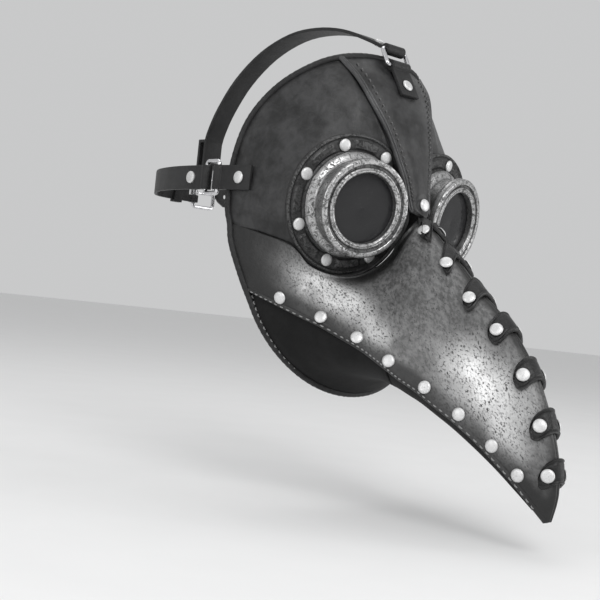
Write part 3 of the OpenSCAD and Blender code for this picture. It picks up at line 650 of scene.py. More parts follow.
def leather(name, dark, light, grain, depth, rough, worn, shine):
    """Grained leather: lighter where its very edge is rubbed, darkened by painted shade beside its edges and
    seams, suede inside.
    """
    g = Graph(name)
    at = g.shaken(4.0, 1.6)
    cells = g.cells(grain, "DISTANCE_TO_EDGE", at)
    creases = g.span(cells, 0.0, 0.16)
    pores = g.noise(grain * 0.45, 4.0, 0.6)
    broad = g.noise(22.0, 4.0, 0.6)
    patch = g.noise(7.0, 5.0, 0.65, distortion=0.6)
    height = g.plus(g.times(creases, 0.6), g.times(pores, 0.55))
    tone = g.span(g.plus(g.times(broad, 0.6), g.times(patch, 0.4)), 0.36, 0.66)
    colour = g.blend(tone, grey(dark, 0.03), grey(light, 0.02))
    edge = g.attribute("edge")
    # Painted shade: the colour darkens towards black near each sheet's edges and seams, and along any line
    # given a small edge distance.
    painted_edge_shade = g.span(edge, 0.6, 5.0, 0.45, 1.0)
    colour = g.blend(1.0, colour, g.blend(painted_edge_shade, grey(0.0), grey(1.0)), "MULTIPLY")
    rim = g.times(g.span(edge, 0.0, 1.1, 1.0, 0.0), g.span(patch, 0.42, 0.62, 0.0, worn))
    colour = g.blend(rim, colour, grey(light * 2.5 + 0.03))
    colour = g.blend(g.attribute("inside"), colour, g.blend(pores, grey(0.025), grey(0.055)))
    roughness = g.span(pores, 0.3, 0.7, rough - 0.08, rough + 0.1)
    roughness = g.plus(roughness, g.times(g.attribute("inside"), 0.35))
    fine = g.bump(height, depth)
    normal = g.bump(g.noise(9.0, 3.0), 0.5, 0.5, fine)
    return g.set(Base_Color=colour, Roughness=roughness, Normal=normal, Specular_IOR_Level=shine)


def painted_leather(name):
    """Grey paint rubbed over black leather: black flecks in the grain, and a painted highlight that goes near
    white in bright patches.
    """
    g = Graph(name)
    at = g.stretched((0, -0.72, -0.69), 1.7)
    fine = g.noise(1.05, 3.0, 0.6, at=at, distortion=0.5)
    grain = g.noise(2.3, 4.0, 0.6, at=at)
    patch = g.noise(8.0, 4.0, 0.6, distortion=0.5)
    rub, painted_highlight = g.attribute("rub"), g.attribute("painted_highlight")
    leather_tone = g.blend(patch, grey(0.006), grey(0.018))
    paint = g.blend(g.span(grain, 0.35, 0.65), grey(0.095), grey(0.19))
    colour = g.blend(rub, leather_tone, paint)
    # Painted highlight: in the bright patches set on the mesh, the colour goes towards near white, broken up
    # by the fine grain.
    bright = g.times(painted_highlight, g.span(fine, 0.36, 0.54, 0.4, 1.0), clamp=True)
    colour = g.blend(bright, colour, grey(0.8))
    fleck = g.times(g.span(fine, 0.36, 0.43, 1.0, 0.0), g.span(patch, 0.38, 0.56, 0.25, 1.0))
    fleck = g.times(fleck, g.plus(g.times(rub, 0.75), painted_highlight, clamp=True), clamp=True)
    colour = g.blend(fleck, colour, grey(0.012))
    colour = g.blend(g.attribute("inside"), colour, g.blend(fine, grey(0.025), grey(0.055)))
    rough = g.plus(g.span(grain, 0.3, 0.7, 0.3, 0.44), g.times(g.attribute("inside"), 0.4))
    height = g.plus(g.times(fine, 0.8), g.times(fleck, -0.3))
    normal = g.bump(grain, 0.25, 0.6, g.bump(height, 0.22, 0.75))
    return g.set(Base_Color=colour, Roughness=rough, Normal=normal, Metallic=g.times(rub, 0.25),
                 Specular_IOR_Level=0.45)


def aged_metal(name, base, dark, rough, pits, depth):
    """Old silver: black in the pits and recesses, bright where it is rubbed."""
    g = Graph(name)
    at = g.shaken(2.5, 1.2)
    pit = g.span(g.cells(1.5, "F1", at), 0.0, 0.34, 1.0, 0.0)
    pit = g.times(pit, g.span(g.noise(6.0, 4.0), 0.46, 0.6))
    stain = g.span(g.noise(4.0, 6.0, 0.75, distortion=1.8), 0.44, 0.6)
    recess = g.attribute("recess")
    dirt = g.plus(g.times(pit, pits), g.times(stain, 0.85), clamp=True)
    dirt = g.math("MAXIMUM", dirt, g.times(recess, g.span(stain, 0.0, 1.0, 0.75, 1.0)))
    scratches = g.noise(0.35, 2.0, 0.7)
    metal = g.blend(g.noise(1.2, 5.0, 0.7), grey(base * 0.72), grey(base * 1.12))
    colour = g.blend(dirt, metal, grey(dark))
    roughness = g.plus(g.span(dirt, 0.0, 1.0, rough, rough + 0.35), g.times(scratches, 0.12))
    height = g.math("SUBTRACT", g.times(g.noise(1.1, 4.0, 0.6), 0.5), g.times(pit, 0.8))
    return g.set(Base_Color=colour, Metallic=g.span(dirt, 0.3, 1.0, 1.0, 0.35), Roughness=roughness,
                 Normal=g.bump(height, depth, 0.8))


def rivet_metal():
    g = Graph("rivet_metal")
    mark = g.span(g.noise(1.6, 6.0, 0.75, distortion=1.5), 0.5, 0.72)
    scratch = g.span(g.noise(0.5, 3.0, 0.8, distortion=2.5), 0.56, 0.66)
    # Painted shadow and real soiling: the marked foot of each crown, where it meets the leather, and random
    # marks go nearly black.
    soil_and_shadow = g.math("MAXIMUM", g.attribute("recess"), g.times(mark, 0.35))
    colour = g.blend(soil_and_shadow, g.blend(g.noise(3.0, 3.0), grey(0.62), grey(0.78)), grey(0.03))
    rough = g.plus(g.span(mark, 0.0, 1.0, 0.42, 0.6), g.times(scratch, -0.1))
    return g.set(Base_Color=colour, Metallic=0.65, Roughness=rough,
                 Normal=g.bump(g.plus(scratch, g.noise(2.2, 3.0)), 0.06, 0.7))


def hardware_metal():
    g = Graph("hardware_metal")
    wear = g.span(g.noise(2.4, 6.0, 0.7, distortion=0.8), 0.48, 0.7)
    colour = g.blend(wear, grey(0.72, 0.02), grey(0.38))
    rough = g.span(wear, 0.0, 1.0, 0.2, 0.42)
    return g.set(Base_Color=colour, Metallic=1.0, Roughness=rough,
                 Normal=g.bump(g.noise(0.6, 3.0, 0.7), 0.03, 0.6))


def dark_glass():
    g = Graph("dark_glass")
    smear = g.noise(9.0, 4.0, 0.6, distortion=1.0)
    dust = g.span(g.noise(0.7, 2.0), 0.62, 0.72)
    colour = g.blend(smear, grey(0.018, 0.05), grey(0.026, 0.05))
    colour = g.blend(g.times(dust, 0.25), colour, grey(0.06))
    rough = g.span(smear, 0.3, 0.7, 0.1, 0.24)
    return g.set(Base_Color=colour, Roughness=rough, Specular_IOR_Level=0.25, Normal=g.bump(smear, 0.03, 0.3))


def waxed_thread(name, light):
    g = Graph(name)
    ply = g.noise(0.5, 2.0, 0.6)
    colour = g.blend(ply, grey(light * 0.5), grey(light))
    return g.set(Base_Color=colour, Roughness=g.span(ply, 0.3, 0.7, 0.5, 0.75), Normal=g.bump(ply, 0.1, 0.8))


FACE = leather("face_leather", 0.006, 0.04, grain=1.0, depth=0.05, rough=0.38, worn=0.4, shine=0.45)
BEAK_SKIN = painted_leather("beak_leather")
MATT = leather("matt_leather", 0.005, 0.009, grain=1.1, depth=0.06, rough=0.7, worn=0.15, shine=0.2)
STRAP = leather("strap_leather", 0.008, 0.02, grain=1.2, depth=0.09, rough=0.48, worn=0.6, shine=0.35)
SILVER = aged_metal("goggle_metal", 0.6, 0.012, rough=0.24, pits=1.0, depth=0.22)
FLANGE = aged_metal("flange_metal", 0.12, 0.008, rough=0.38, pits=0.5, depth=0.1)
RIVET = rivet_metal()
HARDWARE = hardware_metal()
GLASS = dark_glass()
THREAD = waxed_thread("jaw_thread", 0.3)
BROW_THREAD = waxed_thread("brow_thread", 0.13)
WELT = leather("welt_leather", 0.03, 0.07, grain=0.9, depth=0.05, rough=0.3, worn=0.3, shine=0.5)
RIDGE = leather("ridge_leather", 0.006, 0.014, grain=1.2, depth=0.1, rough=0.36, worn=0.8, shine=0.4)

# ---------------------------------------------------------------- beak


def beak_sides():
    t = BEAK_LAST * evenly(330, 0.0035)
    s = evenly(110, 0.011)
    tt, ss = np.meshgrid(t, s, indexing="ij")
    g = skin(tt, ss)
    g[..., 0] = np.minimum(g[..., 0], 0)
    down = np.cumsum(np.linalg.norm(np.diff(g, axis=1, prepend=g[:, :1]), axis=2), axis=1)
    from_jaw = down[:, -1:] - down
    lip = 0.9 * hill(down, 1.3, 0.8) * smooth(tt, 1.5, 3) * (1 - smooth(tt, 8, 9))
    seam = 0.35 * hill(from_jaw, 0.9, 0.6) - 0.3 * hill(from_jaw, 3.1, 0.45)
    ridge_welt = 0.4 * hill(down, 1.6, 0.9) * smooth(tt, 9.2, 9.8)
    dents = 0.35 * noise(g, 17, 3) + 0.12 * noise(g, 5.5, 5) + 0.05 * noise(g, 2.6, 7)
    dents = dents * smooth(edge_distance(g, False), 0, 9)
    folds = 0.22 * np.sin(1.1 * down + 2.2 * noise(g, 14, 9)) * hill(down, 7, 5) * hill(tt, 8.2, 1.3)
    mottle = 0.85 + 0.3 * noise(g, 9, 11)
    below_goggle = 1 - smooth(tt, 7, 9)
    rub = smooth(from_jaw, 8, 15) * smooth(down, mix(2, 7, below_goggle), mix(8, 16, below_goggle))
    rub = np.clip(rub * smooth(tt, 1.0, 3.4) * (1 - smooth(tt, 15.3, 16.2)) * mottle, 0, 1)
    # Painted highlights: strength, beak station and its spread, distance from the jaw and its spread
    highlight_patches = [(1.5, 4.2, 1.5, 28, 11), (0.6, 6.6, 1.3, 18, 9), (1.05, 12.3, 1.3, 29, 15),
               (0.45, 13.8, 0.8, 17, 8)]
    painted_highlight = sum(strength * hill(tt, t0, dt) * hill(from_jaw, q, dq) for strength, t0, dt, q, dq in highlight_patches)
    painted_highlight = np.clip(1.15 * painted_highlight * mottle, 0, 1)
    relief = lip + seam + ridge_welt + dents + folds
    for side in SIDES:
        leather_sheet("beak_leather_" + side, "beak_side_" + side, BEAK_SKIN, g, LEATHER, relief,
                      flip=side == "left", half=True, paint={"rub": rub, "painted_highlight": painted_highlight}, slot="beak_leather")


def under_leathers():
    chin_t = (CHIN_END - SEAM_GAP) * evenly(90, 0.01)
    chin = np.array([under_full(t, 14, 40) for t in chin_t])
    relief = -0.25 * hill(edge_distance(chin, False), 2.4, 0.45) + 0.25 * noise(chin, 15, 21)
    leather_sheet("chin_leather", "chin_guard", MATT, chin, LEATHER, relief, sharp=40)
    first = CHIN_END + SEAM_GAP
    beneath = np.array([under_full(mix(first, BEAK_LAST - 1, f), 10, 24) for f in evenly(120, 0.008)])
    relief = 0.12 * noise(beneath, 12, 22)
    leather_sheet("underside_leather", "beak_underside", MATT, beneath, UNDERSIDE_T, relief, sharp=40)


# ---------------------------------------------------------------- face
def face_leathers():
    n = len(EYE_OUTLINE)
    u = np.linspace(0, n, 400, endpoint=False)
    g = eye_panel_grid(u, evenly(70, 0.014))
    d = edge_distance(g, True)
    crumple = 0.3 * noise(g, 20, 31) + 0.08 * noise(g, 6, 32)
    relief = crumple * smooth(d, 0, 8) - 0.2 * hill(d, 2.6, 0.5)
    for side in SIDES:
        leather_sheet("eye_leather_" + side, "eye_panel_" + side, FACE, g, LEATHER, relief, ring=True,
                      flip=side == "left", half=True, slot="face_leather")
    us = FOREHEAD_LAST * evenly(150, 0.006)
    vs = np.concatenate([-evenly(30, 0.03)[::-1], evenly(30, 0.03)[1:]])
    g = forehead_grid(us, vs)
    d = edge_distance(g, False)
    dimple = -0.5 * hill(np.linalg.norm(g - [0, -103, 8], axis=2), 4.6, 1.6)
    relief = 0.25 * noise(g, 22, 33) * smooth(d, 0, 8) + dimple
    # The tongue on the nose is so narrow that its edges would fold into each other
    lean = np.clip((us - 6) / 1.5, 0, 1)
    leather_sheet("forehead_leather", "forehead_panel", FACE, g, LEATHER, relief, lean=lean,
                  slot="face_leather")


def brow_welts():
    """Double raised welt along each brow seam."""
    u = np.linspace(0, 7.7, 140)
    line = through(FOREHEAD_SIDE, u) + [-1.0, 0.3, 0]
    along = unit(np.gradient(line, axis=0))
    inner = through(FOREHEAD_MIDDLE, u)
    across = unit(line - inner)
    out = unit(np.cross(across, along))
    out = out * np.where(out[:, 1:2] > 0, -1, 1)
    across = unit(np.cross(along, out))
    profile = [(-1.9, -1.2), (-1.75, 0.25), (-1.25, 0.85), (-0.7, 0.95), (-0.25, 0.6), (0, 0.3), (0.25, 0.6),
               (0.7, 0.95), (1.25, 0.85), (1.75, 0.25), (1.9, -1.2)]
    x = np.array([p[0] for p in profile])
    z = np.array([p[1] for p in profile])
    swell = (1 - 0.5 * smooth(u, 7, 7.7))[:, None, None]
    points = line[:, None] + swell * (across[:, None] * x[None, :, None] + out[:, None] * z[None, :, None])
    m = len(profile)
    faces = grid_faces(len(u), m, close_columns=True)
    faces += [tuple(range(m)), tuple((len(u) - 1) * m + k for k in range(m))[::-1]]
    points = points.reshape(-1, 3)
    for side, sign in (("right", 1), ("left", -1)):
        obj = new_object("brow_welt_" + side, points * [sign, 1, 1], faces, body="mask",
                         replaces=["brow_piping_" + side], slot="face_leather", material=WELT, sharp=60)
        outward(obj)
        # Painted shade: the groove between the two beads gets a small edge distance, so the leather material
        # paints it dark.
        groove = np.tile(np.abs(x) < 0.2, len(u))
        set_attribute(obj, "edge", np.where(groove, 0.5, 6.0))


def stitch(a, b, out, radius):
    """Stitch that dips into the leather at both ends."""
    f = np.linspace(0, 1, 7)[:, None]
    path = mix(a, b, f) + out * (radius * (2.2 * np.sin(np.pi * f) - 0.9))
    return tube(path, radius * (0.75 + 0.35 * np.sin(np.pi * f[:, 0])), 6, up=out)


def stitching():
    row = []
    for u in np.arange(0.35, 6.2, 0.24):
        g = forehead_grid([u, u + 0.12], np.array([0.78, 0.8, 0.82]))
        out = unit(np.cross(g[1, 1] - g[0, 1], g[0, 2] - g[0, 0]))
        row.append(stitch(g[0, 1], g[1, 1], out if out[1] < 0 else -out, 0.5))
    new_object("brow_stitches", *joined(row + mirrored(row)), body="mask", replaces=["brow_stitching"],
               slot="thread", material=BROW_THREAD)
    row = []
    for t in np.arange(0.3, 16, 0.3):
        a = skin(t, s_from_bottom(t, STITCH_INSET))
        b = skin(t + 0.18, s_from_bottom(t + 0.18, STITCH_INSET))
        row.append(stitch(a, b, skin_out(t, 0.97), 0.42))
    new_object("jaw_stitches", *joined(row + mirrored(row)), body="mask", replaces=["jaw_stitching"],
               slot="thread", material=THREAD)
    row = []
    for f in np.arange(0.02, 0.98, 0.045):
        a, b = hem_point(f), hem_point(f + 0.026)
        row.append(stitch(a[0], b[0], a[1], 0.4))
    new_object("hem_stitches", *joined(row + mirrored(row)), body="mask", slot="thread", material=THREAD)


def hem_point(f):
    """Point and outward direction on the chin leather, along its back edge."""
    rows = np.array([under_full(t, 14, 40)[14:55] for t in (0.18, 0.3)])
    normal = grid_normals(rows, False)
    x = f * (rows.shape[1] - 1)
    i = min(int(x), rows.shape[1] - 2)
    return mix(rows[0, i], rows[0, i + 1], x - i), mix(normal[0, i], normal[0, i + 1], x - i)


def binding():
    top = forehead_grid([0.0], np.linspace(0, 1, 12))[0]
    o = outline(np.linspace(7.4, 13.0, 50))[:, 1:4]
    jaw = skin(np.zeros(12), np.linspace(0.15, 0.97, 12))
    chin = under_row(0.0, 3, 24)[4:]
    half = np.vstack([top, o, jaw, chin])
    half[:, 0] = np.minimum(half[:, 0], 0)
    path = np.vstack([half, (half * [-1, 1, 1])[-2:0:-1]]) + [0, 0.5, 0]
    for _ in range(3):
        path = 0.25 * np.roll(path, 1, 0) + 0.5 * path + 0.25 * np.roll(path, -1, 0)
    length = np.concatenate([[0], np.cumsum(np.linalg.norm(np.diff(path, axis=0), axis=1))])
    even = np.linspace(0, length[-1], 620, endpoint=False)
    path = np.stack([np.interp(even, length, path[:, k]) for k in range(3)], 1)
    swell = BINDING_R * (1 + 0.03 * np.sin(even * 1.4) + 0.02 * np.sin(even * 3.9))
    points, faces = tube(path, swell, 20, up=(0, 1, 0), closed=True)
    obj = new_object("face_binding", points, faces, body="mask", replaces=["edge_binding"],
                     slot="dark_leather", material=STRAP)
    outward(obj)
    set_attribute(obj, "edge", np.full(len(points), 8.0))


# ---------------------------------------------------------------- ridge straps
RIDGE_AT = [9.05, 10.0, 10.95, 11.95, 13.0, 14.2, 15.4]
RIDGE_HALF = [6, 7, 7.5, 7.5, 7.5, 7.5, 7]
RIDGE_REACH = [19, 19.5, 18.5, 17, 15.5, 14.5, 13]
RIDGE_RIVET_Q = [13, 14, 12, 10, 8.5, 7.5, 6.5]
RIDGE_T = 2.4
RIDGE_GAP = 0.5


def ridge_strap(k):
    t0, reach, half = RIDGE_AT[k], RIDGE_REACH[k], RIDGE_HALF[k]
    step = through(BEAK_UPPER, t0 + 0.1) - through(BEAK_UPPER, t0 - 0.1)
    pace = np.linalg.norm(step) / 0.2
    turns = np.linspace(0.02, 0.98, 65)
    widths = 2 * evenly(23, 0.05) - 1
    q = -reach * np.cos(np.pi * turns)[:, None]
    end = np.maximum(0, (np.abs(q) - reach + half) / (half + 0.3))
    t = t0 + widths * half * np.sqrt(1 - end * end) / pace
    across = s_from_top(t, np.abs(q) + 0 * t)
    g = skin(t, across) + (RIDGE_GAP + RIDGE_T) * skin_out(t, across)
    g[..., 0] = np.where(q > 0, -g[..., 0], g[..., 0])
    d = edge_distance(g, False)
    rivet = np.array([beak_rivet_place(RIDGE_AT[k], RIDGE_RIVET_Q[k], True, 0)[0]])
    near = np.minimum(np.linalg.norm(g - rivet, axis=2), np.linalg.norm(g - rivet * [-1, 1, 1], axis=2))
    relief = 0.28 * hill(d, 0.9, 0.6) - 0.38 * hill(d, 2.0, 0.5) - 0.35 * hill(near, 4.5, 0.9)
    relief += 0.12 * noise(g, 5, 40 + k)
    leather_sheet(f"ridge_leather_{k + 1}", f"ridge_strap_{k + 1}", RIDGE, g, RIDGE_T, relief)


# ---------------------------------------------------------------- rivets
def rivet_shape(depth, seed):
    """Rivet standing on z = 0: a low crown with a small edge, a shank and a burr inside."""
    crown = [(0.02, RIVET_H), (1.2, RIVET_H - 0.03), (2.4, RIVET_H - 0.16), (3.2, RIVET_H - 0.38),
             (3.7, RIVET_H - 0.72), (RIVET_R, RIVET_H - 1.15), (RIVET_R, 0.15), (RIVET_R - 0.15, 0)]
    shank = [(1.4, 0), (1.4, 0.9 - depth), (2.6, 0.9 - depth), (2.8, 0.7 - depth), (2.8, 0.1 - depth),
             (0.02, -depth)]
    points, faces = lathe(shank[::-1] + crown[::-1], 40)
    points = points + 0.05 * noise(points, 1.7, seed)[:, None] * [0, 0, 1] * (points[:, 2:3] > 0.3)
    return points, faces


def beak_rivet_place(t, q, from_top, above):
    s = s_from_top(t, q) if from_top else s_from_bottom(t, q)
    out = skin_out(t, s)
    return skin(t, s) + above * out, out


def rivet_group(name, places, depth, node, seed):
    """One piece of rivets at the places given, each a point and its outward direction."""
    parts = []
    for i, (at, out) in enumerate(places):
        points, faces = rivet_shape(depth, seed + i)
        c, s = math.cos(math.radians(77 * i)), math.sin(math.radians(77 * i))
        spun = points @ np.array([[c, s, 0], [-s, c, 0], [0, 0, 1]])
        up = (0, 0, 1) if abs(unit(out)[2]) < 0.95 else (0, 1, 0)
        parts.append((placed(spun, at, out, up), faces))
    points, faces = joined(parts)
    obj = new_object(name, points, faces, "mask", [node], "rivet_metal", RIVET, 55)
    outward(obj)
    one = rivet_shape(depth, 0)[0]
    radius = np.linalg.norm(one[:, :2], axis=1)
    # Painted shadow: the side of each crown down at the leather is marked, and the rivet material paints it
    # nearly black as a dark ring round the rivet.
    low = smooth(-one[:, 2], -0.7, -0.1) * (radius > 3)
    set_attribute(obj, "recess", np.tile(low, len(places)))


def mirror_places(places):
    return [(np.asarray(a) * [-1, 1, 1], np.asarray(o) * [-1, 1, 1]) for a, o in places]


JAW_AT = [2.05, 3.9, 5.65, 8.1, 10.5, 12.15, 13.55, 14.85]
FLANGE_RIVET_RING = 38.0
FLANGE_SHANK = 9.0
FLANGE_FIRST = {"right": 59, "left": 50}
TEMPLE_Z = 14.0
TEMPLE_DIR = unit([-0.1, 1])
TEMPLE_BAR = np.array([-86.0, 1.0])
TEMPLE_RIVET = 20.0         # from the wire ring's bar to the tab's rivet
CROWN_DIR = unit([0.53, 0.85])
CROWN_BAR = np.array([-68.0, 99.0])
CROWN_RIVET = 16.0
STRAP_T = 2.2


def rivets():
    over = RIDGE_GAP + RIDGE_T
    through_leather = LEATHER + BURR
    ridge = [beak_rivet_place(t, q, True, over) for t, q in zip(RIDGE_AT, RIDGE_RIVET_Q)]
    rivet_group("ridge_rivet_heads", ridge + mirror_places(ridge), over + through_leather, "ridge_rivets", 1)
    bridge = [(np.array([0, -103.1, 8.0]), unit([0, -1, 0.15]))]
    rivet_group("bridge_rivet_head", bridge, through_leather, "bridge_rivet", 20)
    jaw = [beak_rivet_place(t, SEAM_INSET, False, 0) for t in JAW_AT]
    rivet_group("jaw_rivet_heads_right", jaw, through_leather, "jaw_rivets_right", 30)
    rivet_group("jaw_rivet_heads_left", mirror_places(jaw), through_leather, "jaw_rivets_left", 40)
    for side in SIDES:
        places = []
        for k in range(FLANGE_RIVETS):
            a = math.radians(FLANGE_FIRST[side] + FLANGE_STEP * k)
            at = in_goggle([FLANGE_RIVET_RING * math.cos(a), FLANGE_RIVET_RING * math.sin(a), -FLANGE_DEPTH])
            places.append((at, EYE_OUT))
        if side == "left":
            places = mirror_places(places)
        rivet_group("flange_rivet_heads_" + side, places, FLANGE_SHANK, "flange_rivets_" + side, 50)
    temple = TEMPLE_BAR - TEMPLE_RIVET * TEMPLE_DIR
    out = np.array([-TEMPLE_DIR[1], TEMPLE_DIR[0], 0])
    side_places = [(np.array([temple[0], temple[1], TEMPLE_Z]) + STRAP_T / 2 * out, out)]
    crown = CROWN_BAR - CROWN_RIVET * CROWN_DIR
    crown_out = np.array([0, -CROWN_DIR[1], CROWN_DIR[0]])
    top = [(np.array([0, crown[0], crown[1]]) + STRAP_T / 2 * crown_out, crown_out)]
    rivet_group("tab_rivet_heads", side_places + mirror_places(side_places) + top,
                STRAP_T + LEATHER + 2.5, "tab_rivets", 60)


# ---------------------------------------------------------------- goggles
def nose_prism():
    """The nose between the goggles, seen from the front, as a solid to cut with."""
    side = [(9, -12), (11.5, -24), (16, -34), (24, -43), (34, -50)]
    brow = [(22, 52), (17.5, 42), (13, 29), (9.5, 16)]
    edge = side + [(34, -60), (-34, -60)] + [(-x, z) for x, z in side[::-1]]
    edge += [(-x, z) for x, z in brow[::-1]] + [(-22, 60), (22, 60)] + brow
    n = len(edge)
    points = [(x, y, z) for y in (-130, -45) for x, z in edge]
    faces = [tuple(range(n)), tuple(range(n, 2 * n))[::-1]]
    faces += [(i, i + n, (i + 1) % n + n, (i + 1) % n) for i in range(n)]
    return points, faces


def cut_by_nose(obj):
    cutter = outward(linked("nose", *nose_prism()))
    modifier = obj.modifiers.new("nose", "BOOLEAN")
    modifier.operation = "DIFFERENCE"
    modifier.solver = "EXACT"
    modifier.object = cutter
    bpy.context.view_layer.update()
    result = bpy.data.meshes.new_from_object(obj.evaluated_get(bpy.context.evaluated_depsgraph_get()))
    obj.modifiers.clear()
    obj.data = result
    bpy.data.objects.remove(cutter)


def goggle_piece(name, side, shape, recess, node, material, body="mask"):
    """Piece of one side's goggle, given in the right goggle's frame; what is fixed ends at the nose."""
    points, faces = shape
    p = in_goggle(points)
    if side == "left":
        p = p * [-1, 1, 1]
    obj = linked(name + "_" + side, p, faces)
    set_attribute(obj, "recess", recess)
    outward(obj)
    if body == "mask":
        cut_by_nose(obj)
    dress(obj, body, [node + "_" + side], material, 45)


def flange_surface(first):
    """Flange as a height field over its ring, closed by a flat back."""
    n = 900
    radii = np.concatenate([[30.1], np.linspace(30.3, FLANGE_R - 0.15, 44), [FLANGE_R]])
    a = np.linspace(0, 2 * np.pi, n, endpoint=False)
    rr, aa = np.meshgrid(radii, a)
    place = np.mod(np.degrees(aa) - first, 360)
    middle = FLANGE_STEP / 2
    between = np.abs(np.mod(place, FLANGE_STEP) - middle)
    has_pad = place < (FLANGE_RIVETS - 1) * FLANGE_STEP
    pad = (1 - smooth(between, 11.0, 14.0)) * smooth(rr, 34.9, 36.0) * (1 - smooth(rr, 40.2, 41.2)) * has_pad
    seat = 1 - smooth(np.hypot(rr - FLANGE_RIVET_RING, np.radians(between - middle) * rr), 4.4, 5.2)
    beads = 0.5 + 0.5 * np.cos(aa * 150)
    outer_lip = hill(rr, 43.4, 0.75)
    inner_lip = hill(rr, 33.4, 0.55)
    ridge = 0.55 * outer_lip * (0.65 + 0.35 * beads) + 0.5 * inner_lip * (0.6 + 0.4 * beads)
    groove = 0.45 * hill(rr, 42.2, 0.5) + 0.45 * hill(rr, 34.4, 0.5) + 0.3 * hill(rr, 32.3, 0.5)
    wavy = 0.12 * noise(np.stack([rr * np.cos(aa), rr * np.sin(aa), 0 * rr], -1), 4.0, 71)
    height = ridge - groove + 0.85 * pad * (1 - seat) + wavy * (rr > 31) * (rr < 44)
    fall = 0.6 * smooth(rr, 44.0, FLANGE_R)
    top = np.stack([rr * np.cos(aa), rr * np.sin(aa), -FLANGE_DEPTH + height - fall], -1)
    back = top.copy()
    back[..., 2] = -FLANGE_DEPTH - BACK_DEPTH
    m = len(radii)
    k = n * m
    faces = grid_faces(n, m, True)
    for i in range(n):
        first, after = i * m, (i + 1) % n * m
        last, last_after = first + m - 1, after + m - 1
        faces.append((last, k + last, k + last_after, last_after))
        faces.append((first, after, k + after, k + first))
        faces.append((k + first, k + after, k + last_after, k + last))
    dirt = np.clip(1.5 * groove + 0.45 * (1 - pad) * (rr > 34.5) * (rr < 42), 0, 1)
    dirt -= 0.5 * outer_lip + 0.4 * inner_lip
    recess = np.concatenate([np.clip(dirt, 0, 1).reshape(-1), np.ones(k)])
    points = np.concatenate([top.reshape(-1, 3), back.reshape(-1, 3)])
    used = np.unique(np.concatenate([np.array(f) for f in faces]))
    renumber = np.full(2 * k, -1)
    renumber[used] = np.arange(len(used))
    return points[used], [tuple(renumber[list(f)]) for f in faces], recess[used]


def profile_recess(profile, segments, dark):
    """Dirt along a lathe's profile: dark is a list of (z, width) bands."""
    z = np.array([p[1] for p in profile])
    value = sum(hill(z, centre, width) for centre, width in dark)
    return np.tile(np.clip(value, 0, 1), segments)


def goggles():
    d = FLANGE_DEPTH
    bore = RING_R + 0.08
    barrel = rounded([
        (bore, -SEAT_DEPTH), (bore, -1.6), (27.3, -1.6), (27.4, -0.5), (27.9, 0), (RIM_R - 0.9, 0),
        (RIM_R, -0.9), (RIM_R, -4.6), (RIM_R - 0.7, -5.6), (28.6, -7), (28.6, -13), (29.6, -14.8),
        (32.2, -16.4), (33.6, -17.8), (33.6, -d), (30, -d), (30, -d - 9), (26.4, -d - 9), (26.4, -9.5),
        (23, -9.5), (23, -SEAT_DEPTH)], 0.5)[::-1]
    ring = rounded([
        (LENS_OPEN_R, -5.2), (LENS_OPEN_R, -1.2), (LENS_OPEN_R + 0.9, -0.3), (23.9, -0.3), (24.1, -0.55),
        (24.4, -0.3), (RING_R - 0.8, -0.3), (RING_R, -1.1), (RING_R, -5.2)], 0.3)
    lens_r = RING_R - 0.2
    lens = rounded([(0.02, -SEAT_DEPTH), (lens_r, -SEAT_DEPTH), (lens_r, -5.25), (0.02, -5.2)], 0.25)
    segments = 192
    for side in SIDES:
        points, faces, dirt = flange_surface(FLANGE_FIRST[side])
        goggle_piece("flange", side, (points, faces), dirt, "goggle_flange", FLANGE)
        points, faces = lathe(barrel, segments)
        radius = np.linalg.norm(points[:, :2], axis=1)
        worn = noise(points, 3.2, 81) * 0.1 + noise(points, 1.3, 82) * 0.05
        outside = (radius > 27.5) & (points[:, 2] > -19.5)
        points[:, :2] *= (1 + np.where(outside, worn, 0) / np.maximum(radius, 1))[:, None]
        dark = [(-6.6, 0.8), (-13.4, 0.9), (-17.2, 0.5), (-1.5, 0.45), (-19.9, 0.8)]
        dirt = profile_recess(barrel, segments, dark)
        goggle_piece("barrel", side, (points, faces), dirt, "goggle_barrel", SILVER)
        points, faces = lathe(ring, segments)
        radius = np.linalg.norm(points[:, :2], axis=1)
        dirt = np.maximum(smooth(radius, 25.3, 25.6), hill(radius, 24.1, 0.18))
        dirt = np.clip(dirt + smooth(-points[:, 2], 2.5, 4), 0, 1)
        goggle_piece("screw_ring", side, (points, faces), dirt, "lens_ring", SILVER,
                     "lens_ring_" + side)
        points, faces = lathe(lens, 128)
        clean = np.zeros(len(points))
        goggle_piece("lens_glass", side, (points, faces), clean, "lens", GLASS, "lens_" + side)


# ---------------------------------------------------------------- harness
def softened(node, body):
    """A strap or tab of the frame with its long edges rounded over."""
    name = node + "_leather"
    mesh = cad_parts[node].data.copy()
    mesh.name = name
    obj = in_scene(name, mesh)
    bm = bmesh.new()
    bm.from_mesh(mesh)
    bmesh.ops.remove_doubles(bm, verts=bm.verts, dist=1e-6)
    bmesh.ops.dissolve_limit(bm, angle_limit=math.radians(0.6), verts=bm.verts, edges=bm.edges)
    sharp = [e for e in bm.edges if len(e.link_faces) == 2 and e.calc_face_angle(0) > math.radians(32)]
    bmesh.ops.bevel(bm, geom=sharp, offset=STRAP_ROUND * MM, segments=2, profile=0.6, affect="EDGES",
                    clamp_overlap=True)
    bmesh.ops.triangulate(bm, faces=[f for f in bm.faces if len(f.verts) > 4])
    bmesh.ops.recalc_face_normals(bm, faces=bm.faces)
    bm.to_mesh(mesh)
    bm.free()
    set_attribute(obj, "edge", np.full(len(mesh.vertices), 6.0))
    dress(obj, body, [node], STRAP, 30)


